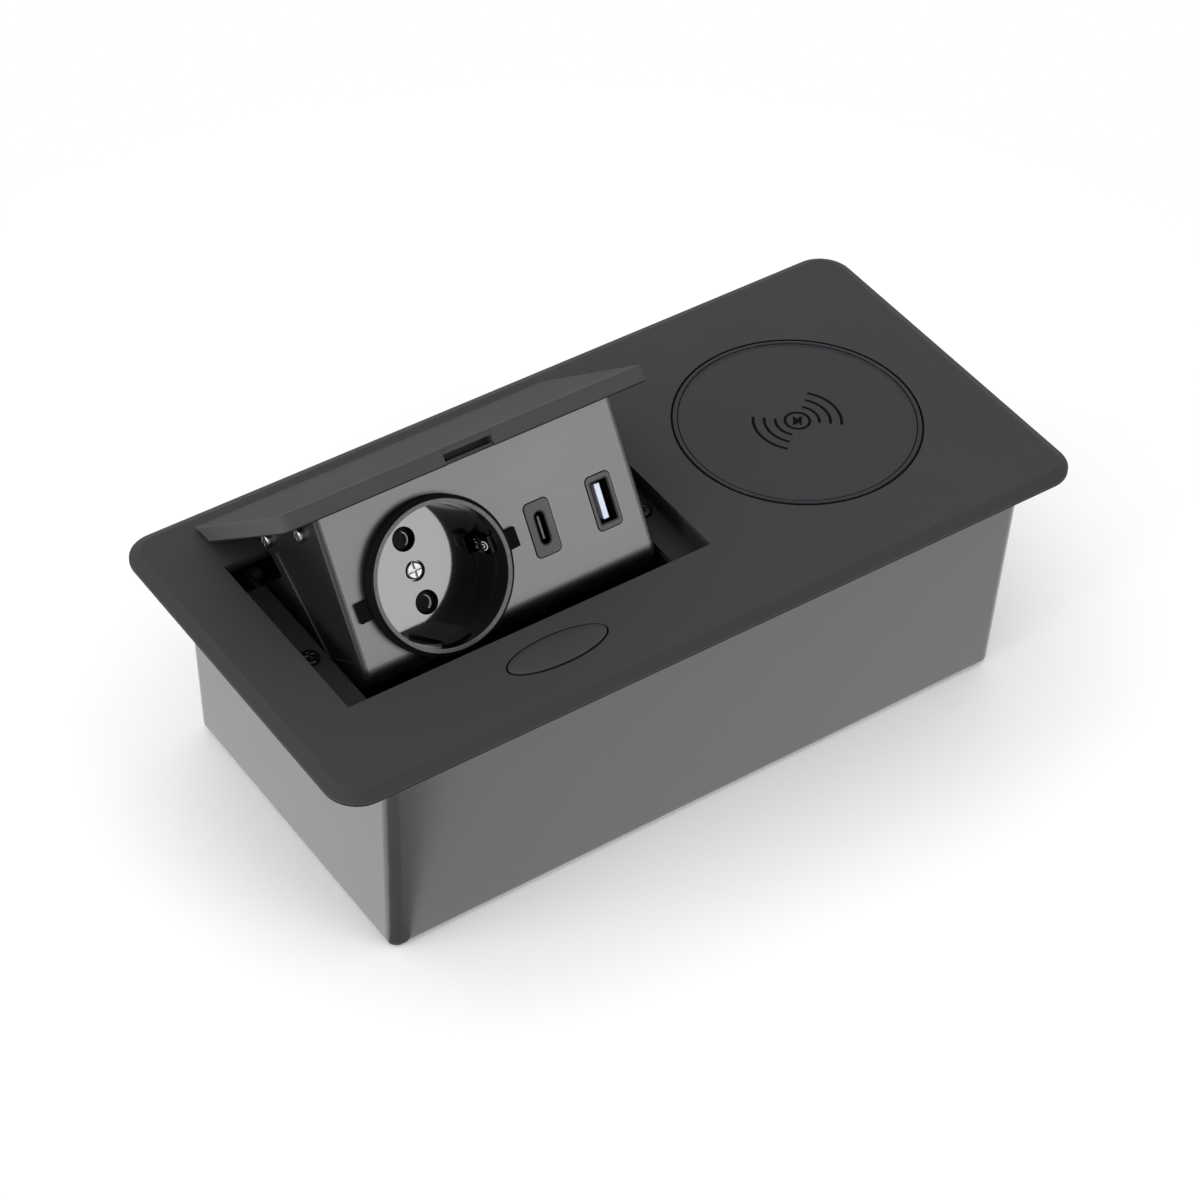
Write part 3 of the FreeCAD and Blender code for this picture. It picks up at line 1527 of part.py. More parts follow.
def earth_clips():
    """Bent spring strips in the two side slots of the well, bulging towards the plug."""
    strip = (
        ("0.4", "well_back_z + 0.4"),
        ("0.4", "-2.9"),
        ("-0.2", "-2.5"),
        ("-1.0", "-2.9"),
        ("-2.0", "-5.2"),
        ("-2.0", "-6.8"),
        ("-1.0", "-11.8"),
        ("-0.5", "-11.6"),
        ("-1.5", "-6.7"),
        ("-1.5", "-5.3"),
        ("-0.6", "-3.4"),
        ("-0.2", "-3.4"),
        ("-0.2", "well_back_z + 0.4"),
    )
    clips = []
    for index, side in enumerate((-1, 1)):
        points = [(f"({side}) * (well_radius + ({x}))", z) for x, z in strip]
        clips.append(padded(f"earth_clip_{index}", "XZ_Plane", points, "-clip_width / 2", "clip_width"))
    return on_socket(group("earth_clips", clips))


def centre_screw():
    screw = pan_head_screw(
        "centre_screw_plain",
        ("0", "0", "well_floor_z - 1.2"),
        "small_screw",
        "small_head + 0.2",
        "1.1",
        "well_floor + 4",
    )
    return on_socket(group("centre_screw", [screw]))


def usb_port(label, middle, width, height, mouth_corner):
    """Bezel and metal shell of one port, in the panel's axes."""
    bezel_z = ("-panel_thick - front_wall", "bezel_proud")
    size = ("bezel_width", "bezel_height")
    bezel = rounded_port(f"{label}_bezel_block", middle, size[0], size[1], bezel_z, "bezel_corner")
    wide = f"{width} + 2 * port_skin"
    high = f"{height} + 2 * port_skin"
    corner = f"{mouth_corner} + port_skin"
    through = ("-port_depth - 5", "5")
    mouth = rounded_port(f"{label}_mouth", middle, wide + " + 0.1", high + " + 0.1", through, corner)
    shell_z = ("-port_depth", "bezel_proud - 0.1")
    shell = rounded_port(f"{label}_shell_outer", middle, wide, high, shell_z, f"{corner} - 0.05")
    inner_z = ("-port_depth + port_skin", "5")
    inner = rounded_port(f"{label}_shell_inner", middle, width, height, inner_z, mouth_corner)
    return [
        set_on_panel(cut(f"{label}_bezel", bezel, [mouth])),
        set_on_panel(cut(f"{label}_shell", shell, [inner])),
    ]


def usb_a_port():
    pieces = usb_port("usb_a", "port_a_x", "slot_a_width", "slot_a_height", "0.3")
    low = "port_a_x - slot_a_width * 0.12 - 0.4"
    tongue = block(
        "usb_a_tongue_bar",
        (low, f"{low} + 1.7"),
        ("-port_drop - slot_a_height / 2 + 0.9", "-port_drop + slot_a_height / 2 - 0.9"),
        ("-port_depth + port_skin", "-0.9"),
    )
    contacts = [
        block(
            f"usb_a_contact_{index}",
            (f"{low} + 1.6", f"{low} + 1.85"),
            (f"-port_drop + {offset} - 0.5", f"-port_drop + {offset} + 0.5"),
            ("-port_depth + 1", "-1.6"),
        )
        for index, offset in enumerate((-3.5, -1.0, 1.0, 3.5))
    ]
    return pieces + [set_on_panel(fuse("usb_a_tongue", [tongue] + contacts))]


def usb_c_port():
    pieces = usb_port("usb_c", "port_c_x", "slot_c_width", "slot_c_height", "slot_c_width / 2 - 0.02")
    tongue = block(
        "usb_c_tongue_bar",
        ("port_c_x - 0.35", "port_c_x + 0.35"),
        ("-port_drop - slot_c_height / 2 + 1.4", "-port_drop + slot_c_height / 2 - 1.4"),
        ("-port_depth + port_skin", "-0.8"),
    )
    root = block(
        "usb_c_tongue_root",
        ("port_c_x - 0.7", "port_c_x + 0.7"),
        ("-port_drop - slot_c_height / 2 + 1.4", "-port_drop + slot_c_height / 2 - 1.4"),
        ("-port_depth + port_skin", "-port_depth + 5"),
    )
    return pieces + [set_on_panel(fuse("usb_c_tongue", [tongue, root]))]


def usb_board():
    """Circuit board behind the ports, with its converter parts."""
    low = "-port_depth - board_thick"
    middle = "((port_a_x + port_c_x) / 2 - 1.2)"
    drop = "(-port_drop - 0.8)"

    def across(share):
        return f"{middle} + ({share}) * usb_board_width"

    def along(share):
        return f"{drop} + ({share}) * usb_board_height"

    board = block(
        "usb_board_sheet",
        (across("-0.5"), across("0.5")),
        (along("-0.5"), along("0.5")),
        (low, "-port_depth"),
    )
    choke = block(
        "usb_board_choke",
        (across("-0.08"), across("0.13")),
        (along("-0.41"), along("-0.18")),
        (f"{low} - port_depth * 0.4", f"{low} + 0.2"),
    )
    cans = [
        rod(
            f"usb_board_can_{index}",
            (across(share), along("0.29"), f"{low} - port_depth * 0.58"),
            "usb_board_width * 0.08",
            "port_depth * 0.58 + 0.2",
        )
        for index, share in enumerate(("-0.34", "-0.08"))
    ]
    holes = [
        rod(f"usb_board_hole_{index}", (across(share), along("-0.44"), f"{low} - 1"), "small_screw", "5")
        for index, share in enumerate(("-0.42", "0.42"))
    ]
    blank = fuse("usb_board_blank", [board, choke] + cans)
    return set_on_panel(cut("usb_board", blank, holes))


def cable_grommet():
    """Rubber bush in the rear wall, its groove a little wider than the drafted wall."""
    outer_y = "wall_outer + fit_gap"
    inner_y = "wall_outer - box_wall - fit_gap"
    rings = (
        ("neck_rod", inner_y, "grommet_neck", "box_wall + 2 * fit_gap"),
        ("outside", outer_y, "grommet_flange", "grommet_lip"),
        ("inside", f"{inner_y} - grommet_lip", "grommet_flange", "grommet_lip"),
        ("nose", f"{outer_y} + grommet_lip", "grommet_neck", "grommet_nose"),
    )
    pieces = []
    for name, y, radius, length in rings:
        pieces.append(rod(f"grommet_{name}", ("outlet_x", y, "outlet_z"), radius, length, "y"))
    bore_at = ("outlet_x", f"{inner_y} - grommet_lip - 1", "outlet_z")
    bore_length = "box_wall + 2 * (fit_gap + grommet_lip + 1) + grommet_nose"
    bore = rod("grommet_bore", bore_at, "outlet_bore", bore_length, "y")
    return cut("cable_grommet", fuse("grommet_blank", pieces), [bore])


def terminal_block():
    """Three-way screw terminal on the floor beside the cable outlet."""
    middle = "(outlet_x + terminal_pitch / 2)"
    rear = "(box_inner_depth / 2 - terminal_gap)"
    front = f"({rear} - terminal_depth)"
    body = block(
        "terminal_body",
        (f"{middle} - 1.5 * terminal_pitch", f"{middle} + 1.5 * terminal_pitch"),
        (front, rear),
        ("box_floor", "box_floor + terminal_height"),
    )
    tools = []
    for index in range(3):
        x = f"({middle} + {index - 1} * terminal_pitch)"
        wire_at = (x, f"{front} - 1", "box_floor + terminal_height * 0.36")
        through = "terminal_depth + 2"
        tools.append(rod(f"terminal_wire_{index}", wire_at, "terminal_pitch * 0.22", through, "y"))
        screw_at = (x, f"{front} + terminal_depth / 2", "box_floor + terminal_height * 0.43")
        tools.append(rod(f"terminal_screw_{index}", screw_at, "terminal_pitch * 0.2", "terminal_height"))
    for index, share in enumerate(("-0.5", "0.5")):
        x = f"({middle} + ({share}) * terminal_pitch)"
        tools.append(
            block(
                f"terminal_gap_{index}",
                (f"{x} - terminal_pitch * 0.08", f"{x} + terminal_pitch * 0.08"),
                (f"{front} - 1", f"{rear} + 1"),
                ("box_floor + terminal_height * 0.57", "box_floor + terminal_height + 1"),
            )
        )
    return cut("terminal_block", body, tools)


def supply_board():
    """Converter board on two rails of the box, with its larger parts soldered on."""
    low = "box_floor + rail_height"
    top = "box_floor + rail_height + board_thick"

    def across(share):
        return f"supply_x + ({share}) * supply_length"

    def along(share):
        return f"({share}) * supply_depth"

    blocks = (
        ("sheet", ("-0.5", "0.5"), ("-0.5", "0.5"), (low, top)),
        ("transformer", ("-0.19", "0.09"), ("-0.16", "0.24"), (f"{top} - 0.1", f"{top} + supply_height")),
        ("filter", ("0.22", "0.38"), ("-0.4", "-0.16"), (f"{top} - 0.1", f"{top} + supply_height * 0.73")),
    )
    pieces = []
    for name, x, y, z in blocks:
        x_span = (across(x[0]), across(x[1]))
        pieces.append(block(f"supply_{name}", x_span, (along(y[0]), along(y[1])), z))
    cans = (("-0.3", "0.078", "1.05"), ("0", "0.0625", "0.8"), ("0.26", "0.0625", "0.8"))
    for index, (y, radius, height) in enumerate(cans):
        place = (across("-0.34"), along(y), f"{top} - 0.1")
        size = (f"supply_length * {radius}", f"supply_height * {height}")
        pieces.append(rod(f"supply_can_{index}", place, size[0], size[1]))
    holes = []
    corners = (("-0.25", "-0.42"), ("0.16", "0.42"), ("-0.25", "0.42"), ("0.16", "-0.42"))
    for index, (x, y) in enumerate(corners):
        place = (across(x), along(y), f"{low} - 1")
        holes.append(rod(f"supply_hole_{index}", place, "screw_hole", "board_thick + 2"))
    return cut("supply_board", fuse("supply_blank", pieces), holes)


def check_all(nodes):
    """Stop if any object failed, or any sub-part is empty or invalid."""
    doc.recompute()
    for thing in doc.Objects:
        if "Invalid" in thing.State or "Error" in thing.State:
            raise RuntimeError(f"{thing.Label} failed: {thing.State}")
    for node in nodes:
        if node.Shape.isNull() or not node.Shape.isValid() or not node.Shape.Solids:
            raise RuntimeError(f"{node.Label} has no valid shape")


def build():
    fill_sheet()
    nodes = [
        top_plate(),
        box_housing(),
        ledge_screws(),
        cover_screws(),
        pivot_bracket("left"),
        pivot_bracket("right"),
        pivot_shaft(),
        shaft_clips(),
        stop_buffers(),
        charger_ring(),
        charger_cover(),
        button(),
        button_spring(),
        catch_plate(),
        latch_frame(),
        latch_screws(),
        lid(),
        lid_striker(),
        lid_screws(),
        lift_spring(),
        module_shell(),
        front_panel(),
        back_cover(),
        socket_insert(),
        socket_back(),
        contact_sleeves(),
        earth_clips(),
        centre_screw(),
        usb_board(),
        cable_grommet(),
        terminal_block(),
        supply_board(),
    ]
    nodes += charger_stack() + usb_a_port() + usb_c_port()
    check_all(nodes)
    for node in nodes:
        node.Shape.exportStep(f"parts/{node.Label}.step")
        print(f"{node.Label}: {len(node.Shape.Solids)} solid(s), {node.Shape.Volume:.1f} mm3")


build()
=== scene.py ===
import math

import bmesh
import bpy
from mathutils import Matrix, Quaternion, Vector


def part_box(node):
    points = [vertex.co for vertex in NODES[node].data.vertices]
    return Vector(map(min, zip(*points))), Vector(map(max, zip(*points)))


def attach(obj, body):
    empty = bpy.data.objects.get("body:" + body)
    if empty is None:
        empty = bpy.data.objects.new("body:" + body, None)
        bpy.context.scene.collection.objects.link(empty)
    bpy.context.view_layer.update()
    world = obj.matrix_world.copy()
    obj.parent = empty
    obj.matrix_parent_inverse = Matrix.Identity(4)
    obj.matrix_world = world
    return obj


# Looks of the in-desk power module: a finish for every piece of the imported model, the thin pieces
# that its solids leave out, such as the printed symbol and the black bands that paint shadow into
# the joints, and the studio that it stands in. Metres, in the model's own frame.

bl_info = {
    "name": "Desk power module looks",
    "version": (1, 0, 0),
    "blender": (4, 5, 0),
    "location": "3D View > Sidebar > Power Module",
    "description": "Finishes, pad symbol and studio for the in-desk power module",
    "category": "Material",
}

MM = 0.001

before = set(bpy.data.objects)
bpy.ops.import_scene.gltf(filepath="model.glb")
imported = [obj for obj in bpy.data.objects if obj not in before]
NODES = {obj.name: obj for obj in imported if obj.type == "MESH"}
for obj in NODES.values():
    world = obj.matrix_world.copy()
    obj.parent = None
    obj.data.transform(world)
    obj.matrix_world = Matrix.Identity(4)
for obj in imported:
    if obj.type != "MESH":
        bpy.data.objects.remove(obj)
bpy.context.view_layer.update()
FULL_TURN = 2 * math.pi
WHITE = (1.0, 1.0, 1.0, 1.0)
UP = Vector((0.0, 0.0, 1.0))

# The raised panel: the middle of its top line, the way up its face and the way out of it
PANEL_TILT = math.radians(57.0)
PANEL_TOP = Vector((-44.35, 5.678, 109.801)) * MM
PANEL_UP = Vector((0.0, math.cos(PANEL_TILT), math.sin(PANEL_TILT)))
PANEL_OUT = Vector((0.0, -math.sin(PANEL_TILT), math.cos(PANEL_TILT)))

# The raised lid: the middle of its front top edge, the way back over its top and the way out of it
LID_TILT = math.radians(40.0)
LID_FRONT = Vector((-44.35, 5.16, 116.5)) * MM
LID_BACK = Vector((0.0, math.cos(LID_TILT), -math.sin(LID_TILT)))
LID_OUT = Vector((0.0, math.sin(LID_TILT), math.cos(LID_TILT)))
LID_THICK = 4.8 * MM

# The round socket: the middle of its mouth on the panel, its turn, its well's floor and the start
# of its rim's face along PANEL_OUT, and the rim's outer radius
SOCKET_ASIDE, SOCKET_DROP = -18.45 * MM, 27.4 * MM
SOCKET = PANEL_TOP + Vector((SOCKET_ASIDE, 0.0, 0.0)) - PANEL_UP * SOCKET_DROP
SOCKET_TURN = math.radians(2.7)
SOCKET_UP = PANEL_UP * math.cos(SOCKET_TURN) - Vector((math.sin(SOCKET_TURN), 0.0, 0.0))
SOCKET_ACROSS = SOCKET_UP.cross(PANEL_OUT)
WELL_FLOOR = -13.25 * MM
RIM_FACE = 3.7 * MM
RIM_OUTER = 21.2 * MM

# The two pin holes: how far apart they are, and their radius
PIN_PITCH = 19.0 * MM
PIN_HOLE = 2.9 * MM

# Pressed loops on an earth clip: half their width, and how deep below the panel they turn and end
CLIP_LOOPS = ((1.25 * MM, 3.6 * MM, 11.6 * MM), (0.5 * MM, 4.5 * MM, 10.6 * MM))
# Inner face of the clip's strip, in mm: depth below the panel, and distance from the socket's axis
CLIP_FACE = ((2.9, 18.9), (5.2, 17.9), (6.8, 17.9), (11.8, 18.9))

# The bezels of the ports: half their width and length, their corners, and how far their middles
# lie below the panel's top line
BEZEL_HALF = (3.9 * MM, 7.8 * MM)
BEZEL_CORNER = 1.4 * MM
BEZEL_DROP = 27.2 * MM

# The button's face: where its middle lies along Y, and half of its width there
BUTTON_Y = -41.1 * MM
BUTTON_HALF = 5.3 * MM

# How far the finish of the charging pad's cover runs out over its ring
PAD_BORDER = 0.45 * MM

# Bands laid on a surface: how thick they are, and the steps of a round one and of an oval one
FILM = 0.02 * MM
ROUND_STEPS = 128
OVAL_STEPS = 96

# The printed bolt, as two halves in shares of its circle's radius
BOLT = (
    ((0.05, 0.68), (-0.66, -0.3), (-0.08, -0.24), (0.1, 0.22)),
    ((-0.09, -0.7), (0.67, 0.28), (0.1, 0.22), (-0.08, -0.24)),
)

# Lamps that point at the middle: their name, place, and width and height
LAMPS = (
    ("front", (0.52, -1.17, 0.47), (0.8, 0.52)),
    ("rear", (-0.3, 1.0, 1.7), (1.4, 1.0)),
    ("left", (-1.6, 0.1, 0.4), (1.2, 0.6)),
)

# The camera: where it stands, how it is turned, and its shift and sensor
CAMERA_PLACE = (-0.460389, -0.632580, 0.777752)
CAMERA_TURN = Quaternion((0.878656, 0.374475, -0.128657, -0.266796))
CAMERA_SHIFT = (0.00469, -0.00338)
SENSOR_WIDTH = 36.0


# Settings


def colour(name, description, default):
    return bpy.props.FloatVectorProperty(
        name=name, description=description, default=default, subtype="COLOR", min=0.0, max=1.0
    )


def length(name, description, default):
    return bpy.props.FloatProperty(
        name=name, description=description, default=default, min=0.0, unit="LENGTH", precision=5
    )


def share(name, description, default):
    return bpy.props.FloatProperty(
        name=name, description=description, default=default, min=0.0, max=1.0, subtype="FACTOR"
    )


def power(name, description, default):
    return bpy.props.FloatProperty(
        name=name, description=description, default=default, min=0.0, unit="POWER"
    )


class PlasticSettings(bpy.types.PropertyGroup):
    """Colours and gloss of the painted, moulded and other pieces that aren't metal."""

    plate: colour("Plate", "Fine matte paint of the frame plate", (0.0272, 0.0272, 0.0282))
    # The lid's top, its front band and its edges are tones of one paint: the band and the edges are
    # painted lighter, as highlights.
    lid: colour("Lid top", "Matte paint on the top of the lid", (0.0235, 0.0235, 0.0238))
    lid_highlight: colour("Lid band", "Paint along the front of the lid's top", (0.032, 0.032, 0.0323))
    lid_edges_lit: colour("Lid edges", "Paint on the edges of the lid", (0.042, 0.042, 0.0425))
    plate_roughness: share("Plate roughness", "Roughness of the plate", 0.7)
    lid_roughness: share("Lid roughness", "Roughness of the lid", 0.78)
    matte_shine: share("Matte shine", "Strength of the reflection on the matte pieces", 0.32)
    lid_shine: share("Lid shine", "Strength of the reflection on the lid", 0.272)
    box: colour("Box", "Satin plastic of the box under the plate", (0.018, 0.0182, 0.0182))
    box_roughness: share("Box roughness", "Roughness of the box", 0.26)
    button: colour("Button", "Matte plastic of the release button", (0.025, 0.025, 0.0255))
    shell: colour("Module shell", "Dark moulding behind the panel", (0.009, 0.0091, 0.0096))
    socket: colour("Socket", "Glossy plastic of the round socket", (0.0026, 0.0026, 0.0028))
    rim: colour("Socket rim", "Grey satin on the rim of the round socket", (0.215, 0.215, 0.215))
    # Painted highlight: the shutters' lips are pale to stand in for a glint.
    glint_lip: colour("Shutter lips", "Pale lips of the pin shutters", (0.75, 0.75, 0.75))
    bezel: colour("Port bezels", "Grained plastic round the USB ports", (0.06, 0.06, 0.0585))
    tongue_a: colour("USB-A tongue", "Pale tongue of the USB-A port", (0.62, 0.68, 0.82))
    tongue_c: colour("USB-C tongue", "Black tongue of the USB-C port", (0.02, 0.02, 0.022))
    pad: colour("Pad cover", "Matte cover of the charging pad", (0.0135, 0.0152, 0.0165))
    ring: colour("Pad ring", "Satin trim ring round the pad", (0.005, 0.0065, 0.0105))
    rubber: colour("Rubber", "Cable bush and stop pegs", (0.012, 0.012, 0.012))
    # Painted shadow: black bands over the joints round the button, ports and pad, and a line along
    # the lid's foot.
    gap: colour("Gaps", "Dark joints round the button, ports and pad", (0.002, 0.002, 0.002))
    # Painted shade: darker inside the bay, and a line along the lid's front top edge.
    painted_shade: colour("Recess", "Thin paint inside the bay, under the lid", (0.011, 0.011, 0.0113))
    nylon: colour("Latch guide", "Nylon of the latch's guide", (0.52, 0.5, 0.44))
    board: colour("Boards", "Solder resist on the circuit boards", (0.012, 0.075, 0.032))
    terminal: colour("Terminal block", "Grey moulding of the terminals", (0.3, 0.31, 0.31))
    ferrite: colour("Ferrite", "Sheet behind the charging coil", (0.055, 0.055, 0.058))
    edge_radius: length("Edge radius", "Rounding that the light shows on sharp edges", 0.00022)
    # Edges are made lighter partly as rubbed wear and partly as painted highlight.
    usual_edge_wear_and_sheen: share("Edge wear", "How much lighter the worn edges are", 0.16)


class MetalSettings(bpy.types.PropertyGroup):
    """Colours and gloss of the metal pieces."""

    panel: colour("Panel", "Satin dark metal of the face panel", (0.108, 0.105, 0.1028))
    panel_roughness: share("Panel roughness", "Roughness of the face panel", 0.42)
    steel: colour("Steel", "Zinc-plated brackets, shaft and catch", (0.44, 0.45, 0.46))
    screw: colour("Screws", "Black-finished steel screws", (0.025, 0.025, 0.026))
    ear_screw: colour("Ear screws", "Plain steel screws in the lid's ears", (0.3, 0.3, 0.305))
    bright: colour("Bright screw", "Nickel-plated screw in the socket", (0.3, 0.297, 0.29))
    spring: colour("Spring steel", "Springs of the lift and the button", (0.5, 0.5, 0.49))
    # Painted dark reflection: the clips are near black where they would mirror the dark well.
    clip: colour("Earth clips", "Dark tinned strips in the socket", (0.02, 0.02, 0.0205))
    # Painted highlight: the pressed loops are pale, standing in for light that they catch.
    clip_glint: colour("Clip lines", "Bright loops on the earth clips", (0.85, 0.85, 0.84))
    black: colour("Blackened steel", "Striker in the lid's slot", (0.03, 0.03, 0.031))
    brass: colour("Brass", "Contact sleeves", (0.62, 0.45, 0.2))
    copper: colour("Copper", "Winding of the charging coil", (0.6, 0.27, 0.12))
    port: colour("Port shells", "Plated steel inside the USB ports", (0.014, 0.0155, 0.018))


class SymbolSettings(bpy.types.PropertyGroup):
    """The charging symbol: a bolt in a circle with arcs on both sides."""

    ink: colour("Ink", "Colour of the printed symbol", (0.002, 0.0022, 0.0025))
    circle: length("Circle", "Radius of the circle round the bolt", 3.6 * MM)
    first_arc: length("First arc", "Radius of the innermost arc", 6.4 * MM)
    arc_step: length("Arc step", "Distance from one arc to the next", 3.23 * MM)
    line: length("Line", "Width of the printed lines", 0.86 * MM)
    sweep: bpy.props.FloatProperty(
        name="Sweep",
        description="Half of the angle that each arc spans",
        default=math.radians(40.5),
        subtype="ANGLE",
        unit="ROTATION",
    )
    thickness: length("Thickness", "Height of the printed ink", FILM)
    arcs: bpy.props.IntProperty(
        name="Arcs", description="Arcs on each side", default=3, min=1, max=6
    )
    points: bpy.props.IntProperty(
        name="Points", description="Steps round each curve", default=48, min=8, max=256
    )


class StudioSettings(bpy.types.PropertyGroup):
    """Floor, card, lamps and camera."""

    floor: colour("Floor", "Colour of the floor", (0.95, 0.95, 0.95))
    floor_fade: length("Floor fade", "Distance over which the floor turns plain white", 0.2)
    floor_near: length("Floor near", "Distance from the middle where the fade starts", 0.12)
    floor_size: length("Floor size", "Length of each side of the floor", 24.0)
    sky: share("Sky", "Level of the soft light from all sides", 0.95)
    front: power("Front lamp", "Soft lamp that the panel and the socket reflect", 5.0)
    rear: power("Rear lamp", "Soft lamp behind and high", 3.5)
    left: power("Left lamp", "Soft lamp on the left", 16.5)
    card: colour("Card", "Card by the left corner, seen by reflections", (0.3, 0.3, 0.3))
    card_reach: length("Card reach", "Radius of the card", 0.078)
    lens: bpy.props.FloatProperty(
        name="Lens",
        description="Focal length of the camera",
        default=111.906,
        min=1.0,
        unit="CAMERA",
    )


# Node helpers


def put(tree, kind, values=None, **settings):
    """A node with its settings made and its inputs set or linked, by name or number."""
    made = tree.nodes.new(kind)
    for name, value in settings.items():
        setattr(made, name, value)
    for name, value in (values or {}).items():
        if isinstance(value, bpy.types.NodeSocket):
            tree.links.new(value, made.inputs[name])
        else:
            made.inputs[name].default_value = value
    return made


def maths(tree, operation, first, second=0.0, clamp=False):
    values = {0: first, 1: second}
    return put(tree, "ShaderNodeMath", values, operation=operation, use_clamp=clamp).outputs[0]


def above(tree, value, limit):
    return maths(tree, "GREATER_THAN", value, limit)


def below(tree, value, limit):
    return maths(tree, "LESS_THAN", value, limit)


def product(tree, *values):
    """All the values multiplied, or for masks, one where each of them is one."""
    whole = values[0]
    for value in values[1:]:
        whole = maths(tree, "MULTIPLY", whole, value)
    return whole


def vectors(tree, operation, *given):
    """Vector maths: a number from a dot product or a length, and otherwise a vector."""
    made = put(tree, "ShaderNodeVectorMath", dict(enumerate(given)), operation=operation)
    return made.outputs["Value" if operation in ("DOT_PRODUCT", "LENGTH") else "Vector"]


def along(tree, place, way):
    """How far a vector reaches along a direction."""
    return vectors(tree, "DOT_PRODUCT", place, way)


def scaled(tree, tint, level):
    """A colour made lighter or darker by a level that varies."""
    values = {0: tint, "Scale": level}
    return put(tree, "ShaderNodeVectorMath", values, operation="SCALE").outputs["Vector"]


def axes(tree, vector):
    return put(tree, "ShaderNodeSeparateXYZ", {0: vector}).outputs


def ramp(tree, value, start, end):
    """Nothing at the start and one at the end, with a soft change between them."""
    values = {"Value": value, "From Min": start, "From Max": end}
    made = put(tree, "ShaderNodeMapRange", values, interpolation_type="SMOOTHSTEP")
    return made.outputs[0]


def blend_colours(tree, factor, first, second):
    values = {0: factor, 6: first, 7: second}
    return put(tree, "ShaderNodeMix", values, data_type="RGBA").outputs[2]


def object_place(tree):
    return put(tree, "ShaderNodeTexCoord").outputs["Object"]


def object_normal(tree):
    return put(tree, "ShaderNodeTexCoord").outputs["Normal"]


def place_from(tree, origin):
    """Where a point of the surface lies, seen from an origin in the model's frame."""
    return vectors(tree, "SUBTRACT", object_place(tree), origin)


def noise(tree, place, scale, detail=2.0, roughness=0.5):
    values = {"Vector": place, "Scale": scale, "Detail": detail, "Roughness": roughness}
    return put(tree, "ShaderNodeTexNoise", values).outputs[0]


def spread_about(tree, middle, texture, width):
    """The middle value, moved up or down by the texture by up to half of the width."""
    shift = maths(tree, "MULTIPLY", maths(tree, "SUBTRACT", texture, 0.5), width)
    return maths(tree, "ADD", middle, shift)


def new_group(name, takes, gives):
    """An empty shader group with named sockets."""
    tree = bpy.data.node_groups.new(name, "ShaderNodeTree")
    for label, default in takes.items():
        kind = "NodeSocketColor" if isinstance(default, tuple) else "NodeSocketFloat"
        socket = tree.interface.new_socket(label, in_out="INPUT", socket_type=kind)
        socket.default_value = default
    for label, kind in gives.items():
        tree.interface.new_socket(label, in_out="OUTPUT", socket_type=kind)
    return tree, tree.nodes.new("NodeGroupInput").outputs, tree.nodes.new("NodeGroupOutput").inputs


def grain_group():
    """Fine moulded or painted grain, and roughness that wanders a little over the surface."""
    tree, takes, gives = new_group(
        "Fine grain",
        {"Scale": 1400.0, "Roughness": 0.5, "Wander": 0.08},
        {"Height": "NodeSocketFloat", "Roughness": "NodeSocketFloat"},
    )
    place = object_place(tree)
    fine = noise(tree, place, takes["Scale"], detail=3.0, roughness=0.6)
    broad = noise(tree, place, 45.0, detail=3.0, roughness=0.55)
    rough = spread_about(tree, takes["Roughness"], broad, takes["Wander"])
    tree.links.new(fine, gives["Height"])
    tree.links.new(rough, gives["Roughness"])
    return tree


def wear_and_sheen_group():
    """A colour that drifts slightly over the surface and is lighter on edges, partly as rubbed wear
    and partly as painted highlight.
    """
    tree, takes, gives = new_group(
        "Wear",
        {"Color": (0.1, 0.1, 0.1, 1.0), "Drift": 0.1, "Edge": 0.15, "Radius": 0.0003},
        {"Color": "NodeSocketColor"},
    )
    edge_grey, contrast = (0.5, 0.5, 0.5, 1.0), 5.0
    place = object_place(tree)
    rounded = put(tree, "ShaderNodeBevel", {"Radius": takes["Radius"]}, samples=6).outputs[0]
    flat = put(tree, "ShaderNodeNewGeometry").outputs["Normal"]
    facing = along(tree, rounded, flat)
    bend = maths(tree, "MULTIPLY", maths(tree, "SUBTRACT", 1.0, facing), contrast, clamp=True)
    patchy = product(tree, bend, noise(tree, place, 260.0, detail=3.0, roughness=0.6))
    mask = maths(tree, "MULTIPLY", patchy, takes["Edge"], clamp=True)
    clouds = noise(tree, place, 22.0, detail=4.0, roughness=0.55)
    tint = scaled(tree, takes["Color"], spread_about(tree, 1.0, clouds, takes["Drift"]))
    tree.links.new(blend_colours(tree, mask, tint, edge_grey), gives["Color"])
    return tree


def brushed_group():
    """Long fine scratches along X, as on brushed or drawn metal."""
    tree, takes, gives = new_group(
        "Brushed metal",
        {"Scale": 1.0, "Roughness": 0.3, "Wander": 0.1},
        {"Height": "NodeSocketFloat", "Roughness": "NodeSocketFloat"},
    )
    place = object_place(tree)
    stretch = put(tree, "ShaderNodeMapping", {"Vector": place, "Scale": (16.0, 3200.0, 3200.0)})
    lines = noise(tree, stretch.outputs[0], takes["Scale"], detail=3.0, roughness=0.7)
    clouds = noise(tree, place, 38.0, detail=4.0, roughness=0.6)
    both = maths(tree, "ADD", product(tree, lines, 0.6), product(tree, clouds, 0.4))
    rough = spread_about(tree, takes["Roughness"], both, takes["Wander"])
    tree.links.new(lines, gives["Height"])
    tree.links.new(rough, gives["Roughness"])
    return tree


GROUPS = {"Fine grain": grain_group, "Wear": wear_and_sheen_group, "Brushed metal": brushed_group}


def effect(tree, name, values):
    """A shared effect, placed with its own values."""
    group = bpy.data.node_groups.get(name) or GROUPS[name]()
    return put(tree, "ShaderNodeGroup", values, node_tree=group).outputs


def opaque(tint):
    return (tint[0], tint[1], tint[2], 1.0)


def settings():
    return bpy.context.scene.power_module


def empty_material(name):
    material = bpy.data.materials.new(name)
    material.use_nodes = True
    material.node_tree.nodes.clear()
    return material


